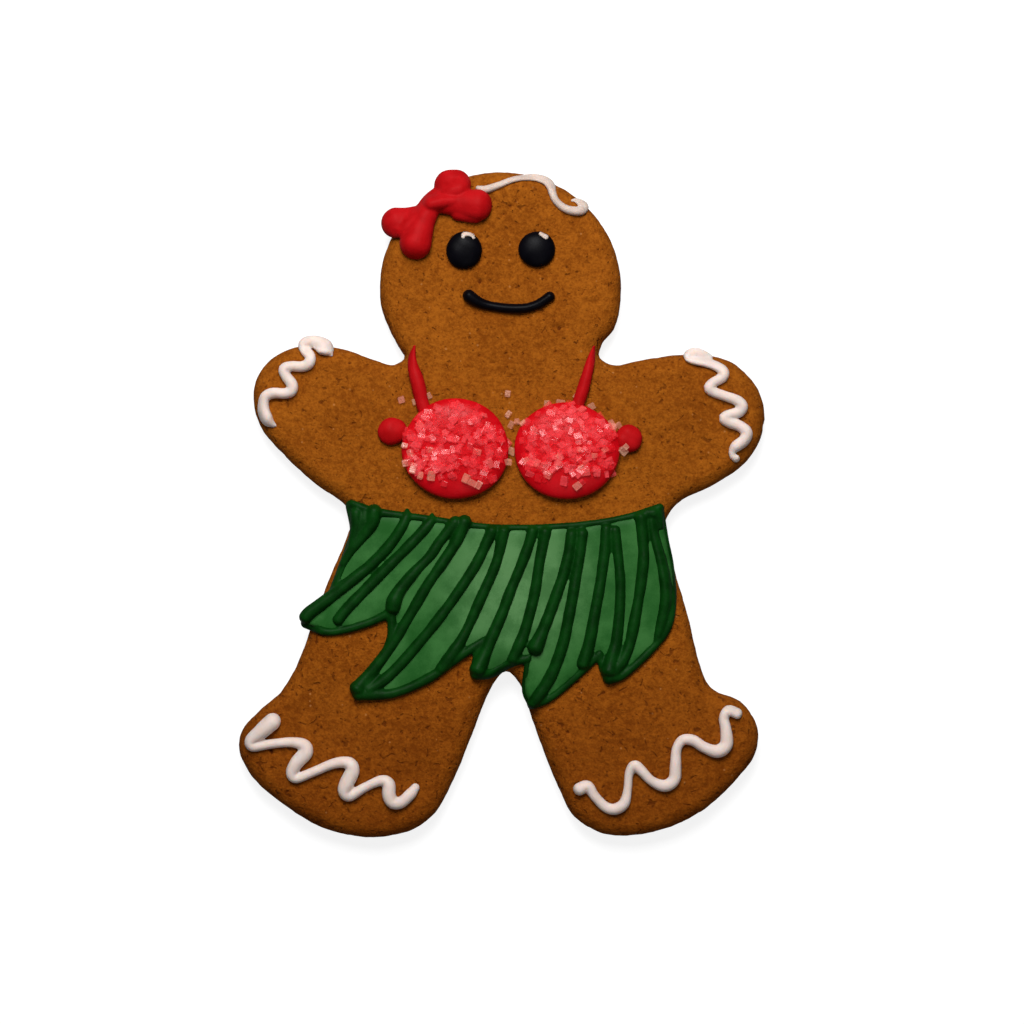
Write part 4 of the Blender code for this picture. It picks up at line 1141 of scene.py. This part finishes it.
# %% Cups, straps and beads
CUPS = {"left": ((-9.5, 11.5), (11.3, 10.4)), "right": ((13.7, 11.1), (10.9, 10.2))}
CUP_TOP = 4.4
BEADS = {"left": ((-22.7, 15.2), (3.05, 2.9)), "right": ((26.6, 13.6), (2.95, 2.9))}
BEAD_TOP = 2.65
STRAPS = {
    "left": [
        (-18.1, 33.0, 0.25), (-18.6, 30.6, 0.85), (-18.3, 28.4, 1.2), (-17.7, 26.4, 1.45), (-17.1, 24.0, 1.5),
        (-16.6, 21.6, 1.4), (-15.8, 19.2, 1.4),
    ],
    "right": [
        (19.5, 32.9, 0.3), (18.9, 30.4, 0.85), (18.1, 27.4, 1.15), (17.2, 24.2, 1.3), (16.3, 21.4, 1.3),
        (15.6, 18.6, 1.3),
    ],
}
STRAP_TALL = 2.3

for side, line in STRAPS.items():
    strap = ropes("strap_" + side + "_icing", [line], STRAP_TALL, RED, wobble=0.04, seed=5)
    hand_over(strap, "red_icing", "strap_" + side)

beads = []
for order, (side, (centre, radii)) in enumerate(BEADS.items()):
    bead = "bead_" + side + "_icing"
    beads.append(dome(bead, centre, radii, BEAD_TOP, RED, lumps=0.05, seed=order + 3, around=48, rings=24))

cups = []
for order, (side, (centre, radii)) in enumerate(CUPS.items()):
    cup = "cup_" + side + "_icing"
    cups.append(dome(cup, centre, radii, CUP_TOP, CUP_RED, 1.15, 0.022, order + 21, around=96, rings=48))

# %% [markdown]
# ## Coarse sugar
#
# The wet cups were dusted with coarse clear sugar. The blocks lie thick over their middle and upper part,
# the lower rims stay bare, and some fell beside the cups. The shape tree scatters one bevelled block over
# the cups by a density that each point of them carries, adds the loose blocks at given points,
# gives each its own turn and size, and makes them all real.

# %% One block of sugar
BLOCK_DEPTH = 0.82
BLOCK_HEIGHT = 0.68
BLOCK_RAISED = 0.03
BLOCK_BEVEL = 0.07


def sugar_block():
    """Bevelled box a millimetre across with slightly slanted sides."""
    work = bmesh.new()
    bmesh.ops.create_cube(work, size=1)
    for vert in work.verts:
        vert.co.x *= 1.0 + 0.12 * vert.co.z
        vert.co.y *= BLOCK_DEPTH - 0.08 * vert.co.x
        vert.co.z = vert.co.z * BLOCK_HEIGHT + BLOCK_RAISED
    bmesh.ops.bevel(work, geom=work.edges[:], offset=BLOCK_BEVEL, segments=1, profile=0.5, affect="EDGES")
    bmesh.ops.triangulate(work, faces=work.faces)
    mesh = bpy.data.meshes.new("block")
    work.to_mesh(mesh)
    work.free()
    return new_object("block", mesh)


# %% Sugar tree
BLOCK_TURN = ((-0.5, -0.5, 0.0), (0.5, 0.5, math.tau))
BLOCK_STRETCH = ((0.8, 0.8, 0.7), (1.15, 1.05, 1.0))
CUP_FROST = (0.0, 0.93)
LOOSE_FROST = (0.94, 1.0)


def sugar_tree():
    """Shape tree that scatters blocks over domes and at loose points."""
    inputs = {"Geometry": "shape", "Block": "object", "Loose Points": "object", "Per Square Millimetre": 0.6,
              "Smallest": 1.1, "Largest": 1.9, "Seed": 7, "Material": "material"}
    tree, given, result = group_tree("coarse sugar", "GeometryNodeTree", inputs, {"Geometry": "shape"})
    block = node(tree, "GeometryNodeObjectInfo", None, {"Object": given["Block"]}).outputs["Geometry"]
    loose = node(tree, "GeometryNodeObjectInfo", None, {"Object": given["Loose Points"]}).outputs["Geometry"]
    share = node(tree, "GeometryNodeInputNamedAttribute", {"data_type": "FLOAT"}, {"Name": "sugar"})
    density = calc(tree, "MULTIPLY", share.outputs[0], given["Per Square Millimetre"])
    spread = node(tree, "GeometryNodeDistributePointsOnFaces", None,
                  {"Mesh": given["Geometry"], "Density": density, "Seed": given["Seed"]})
    fallen = node(tree, "GeometryNodeMeshToPoints", None, {"Mesh": loose})

    def draw(seed, step, least, most):
        """Random number, or vector where the limits are vectors, that each block has."""
        vector = isinstance(least, tuple)
        first = 0 if vector else 2
        made = node(tree, "FunctionNodeRandomValue", {"data_type": "FLOAT_VECTOR" if vector else "FLOAT"},
                    {first: least, first + 1: most, "Seed": calc(tree, "ADD", seed, step)})
        return made.outputs[0 if vector else 1]

    def scatter(points, facing, seed_step, frost_range):
        """Blocks at points, turned at random about the way each faces."""
        seed = calc(tree, "ADD", given["Seed"], seed_step)
        turned = node(tree, "FunctionNodeRotateRotation", {"rotation_space": "LOCAL"},
                      {"Rotate By": draw(seed, 0.0, *BLOCK_TURN), **facing})
        size = draw(seed, 1.0, given["Smallest"], given["Largest"])
        scale = vector_calc(tree, "SCALE", draw(seed, 2.0, *BLOCK_STRETCH), size)
        placed = node(tree, "GeometryNodeInstanceOnPoints", None,
                      {"Points": points, "Instance": block, "Rotation": turned.outputs[0], "Scale": scale})
        frost = draw(seed, 3.0, *frost_range)
        marked = node(tree, "GeometryNodeStoreNamedAttribute", {"data_type": "FLOAT", "domain": "INSTANCE"},
                      {"Geometry": placed.outputs[0], "Name": "frost", "Value": frost})
        return marked.outputs[0]

    both = node(tree, "GeometryNodeJoinGeometry")
    facing = {"Rotation": spread.outputs["Rotation"]}
    tree.links.new(scatter(spread.outputs["Points"], facing, 10.0, CUP_FROST), both.inputs[0])
    tree.links.new(scatter(fallen.outputs[0], {}, 20.0, LOOSE_FROST), both.inputs[0])
    return close_shape(tree, given, result, both.outputs[0])


# %% [markdown]
# A clear block of sugar on red icing looks red or pink: light goes through it, picks up the red below and
# comes back, while its scratched faces scatter some white. Refracting glass would be noisy at this size, so
# the blocks are partly see-through skins instead, with a faint glow for the light that wanders inside them.
# Each carries how frosted it is: clear ones on the cups are red and milky ones pink, and those that fell
# beside the cups are pale, because no red icing shines through them.

# %% Sugar finish
SUGAR_CLEAR = (0.95, 0.016, 0.026, 1)
SUGAR_PINK = (0.97, 0.095, 0.11, 1)
SUGAR_WHITE = (0.78, 0.40, 0.27, 1)
SUGAR_GLOW = 0.15
MILKY = (0.1, 1.0, 0.12, 0.36)
SCRATCHED = (0.35, 0.7, 0.0, 0.14)
THINNER_WHERE_FALLEN = (0.93, 0.96, 0.0, 0.10)


def clear_sugar():
    """Clear sugar with scratched faces, some blocks milkier than others."""
    made, tree, shader = new_finish("coarse_sugar", 0.2, 0.6)
    scratches = noise(tree, surface_place(tree), 2.6, 4.0, 0.6)
    frost = node(tree, "ShaderNodeAttribute", {"attribute_name": "frost"}).outputs["Fac"]
    colour = blend(tree, ramp(tree, frost, 0.15, 0.85), SUGAR_CLEAR, SUGAR_PINK)
    colour = blend(tree, ramp(tree, frost, 0.86, 1.0), colour, SUGAR_WHITE)
    tree.links.new(colour, shader.inputs["Base Color"])
    tree.links.new(colour, shader.inputs["Emission Color"])
    shader.inputs["Emission Strength"].default_value = SUGAR_GLOW
    tree.links.new(ramp(tree, scratches, 0.3, 0.7, 0.1, 0.35), shader.inputs["Roughness"])
    cover = calc(tree, "ADD", ramp(tree, frost, *MILKY), ramp(tree, scratches, *SCRATCHED))
    cover = calc(tree, "SUBTRACT", cover, ramp(tree, frost, *THINNER_WHERE_FALLEN))
    tree.links.new(cover, shader.inputs["Alpha"])
    return made


# %% Scatter the sugar
LOOSE_SUGAR = [
    (-20.8, 21.8), (-17.8, 21.4), (-15.0, 22.7), (1.4, 23.0), (18.9, 20.4), (22.9, 16.6), (24.6, 16.4),
    (25.4, 11.1), (-19.7, 8.6), (-16.8, 5.9), (-14.5, 5.9), (1.5, 18.7), (3.4, 17.2), (2.2, 16.6),
    (4.6, 16.9), (2.1, 11.1), (1.3, 8.8), (15.8, 22.6), (12.4, 21.2), (9.6, 20.8), (-6.0, 4.4), (-4.6, 4.0),
    (-7.2, 5.3), (15.9, 3.8), (23.2, 16.0), (-20.0, 12.1), (26.0, 11.9), (-18.2, 7.4),
]
LOOSE_LIFT = 0.25
BARE_BELOW = -0.72
FULL_ABOVE = -0.25
SUGAR_EDGE = (0.78, 0.98)
SUGAR = {"Per Square Millimetre": 1.1, "Smallest": 1.2, "Largest": 1.95}


def sugar_share(item, centre, radii):
    """Mark how thickly the sugar lies at each point of a cup."""
    points = coordinates(item.data)
    across, up = ((points[:, :2] - centre) / radii).T
    reach = np.hypot(across, up)
    share = np.clip((up - BARE_BELOW) / (FULL_ABOVE - BARE_BELOW), 0, 1)
    share *= np.clip((SUGAR_EDGE[1] - reach) / (SUGAR_EDGE[1] - SUGAR_EDGE[0]), 0, 1)
    share *= points[:, 2] > TOP + 1
    item.data.attributes.new("sugar", "FLOAT", "POINT").data.foreach_set("value", share.astype(np.float32))


ground = new_object("ground", dough.data.copy())
work = bmesh.new()
for cup, (centre, radii) in zip(cups, CUPS.values()):
    sugar_share(cup, centre, radii)
    work.from_mesh(cup.data)
both_cups = bpy.data.meshes.new("both_cups")
work.to_mesh(both_cups)
for item in (ground, *beads):
    work.from_mesh(item.data)
work.to_mesh(ground.data)
work.free()

loose = mesh_object("loose", [(x, y, 0) for x, y in LOOSE_SUGAR], [])
drop_on(loose, ground, -LOOSE_LIFT)
block = sugar_block()
values = {**SUGAR, "Block": block, "Loose Points": loose, "Material": clear_sugar()}
sugar = shape_with(new_object("sugar", both_cups), sugar_tree(), values)
sugar.name = "coarse_sugar_blocks"
for helper in (ground, loose, block):
    bpy.data.objects.remove(helper, do_unlink=True)
for side, cup, bead in zip(CUPS, cups, beads):
    hand_over(cup, "sugared_red_icing", "cup_" + side)
    hand_over(bead, "red_icing", "bead_" + side)
hand_over(sugar, "sugared_red_icing")
sugar.data.shade_flat()

# %% [markdown]
# ## Hand over
#
# The biscuit itself replaces its solid last.

# %% Finish
hand_over(dough, "gingerbread", "cookie")
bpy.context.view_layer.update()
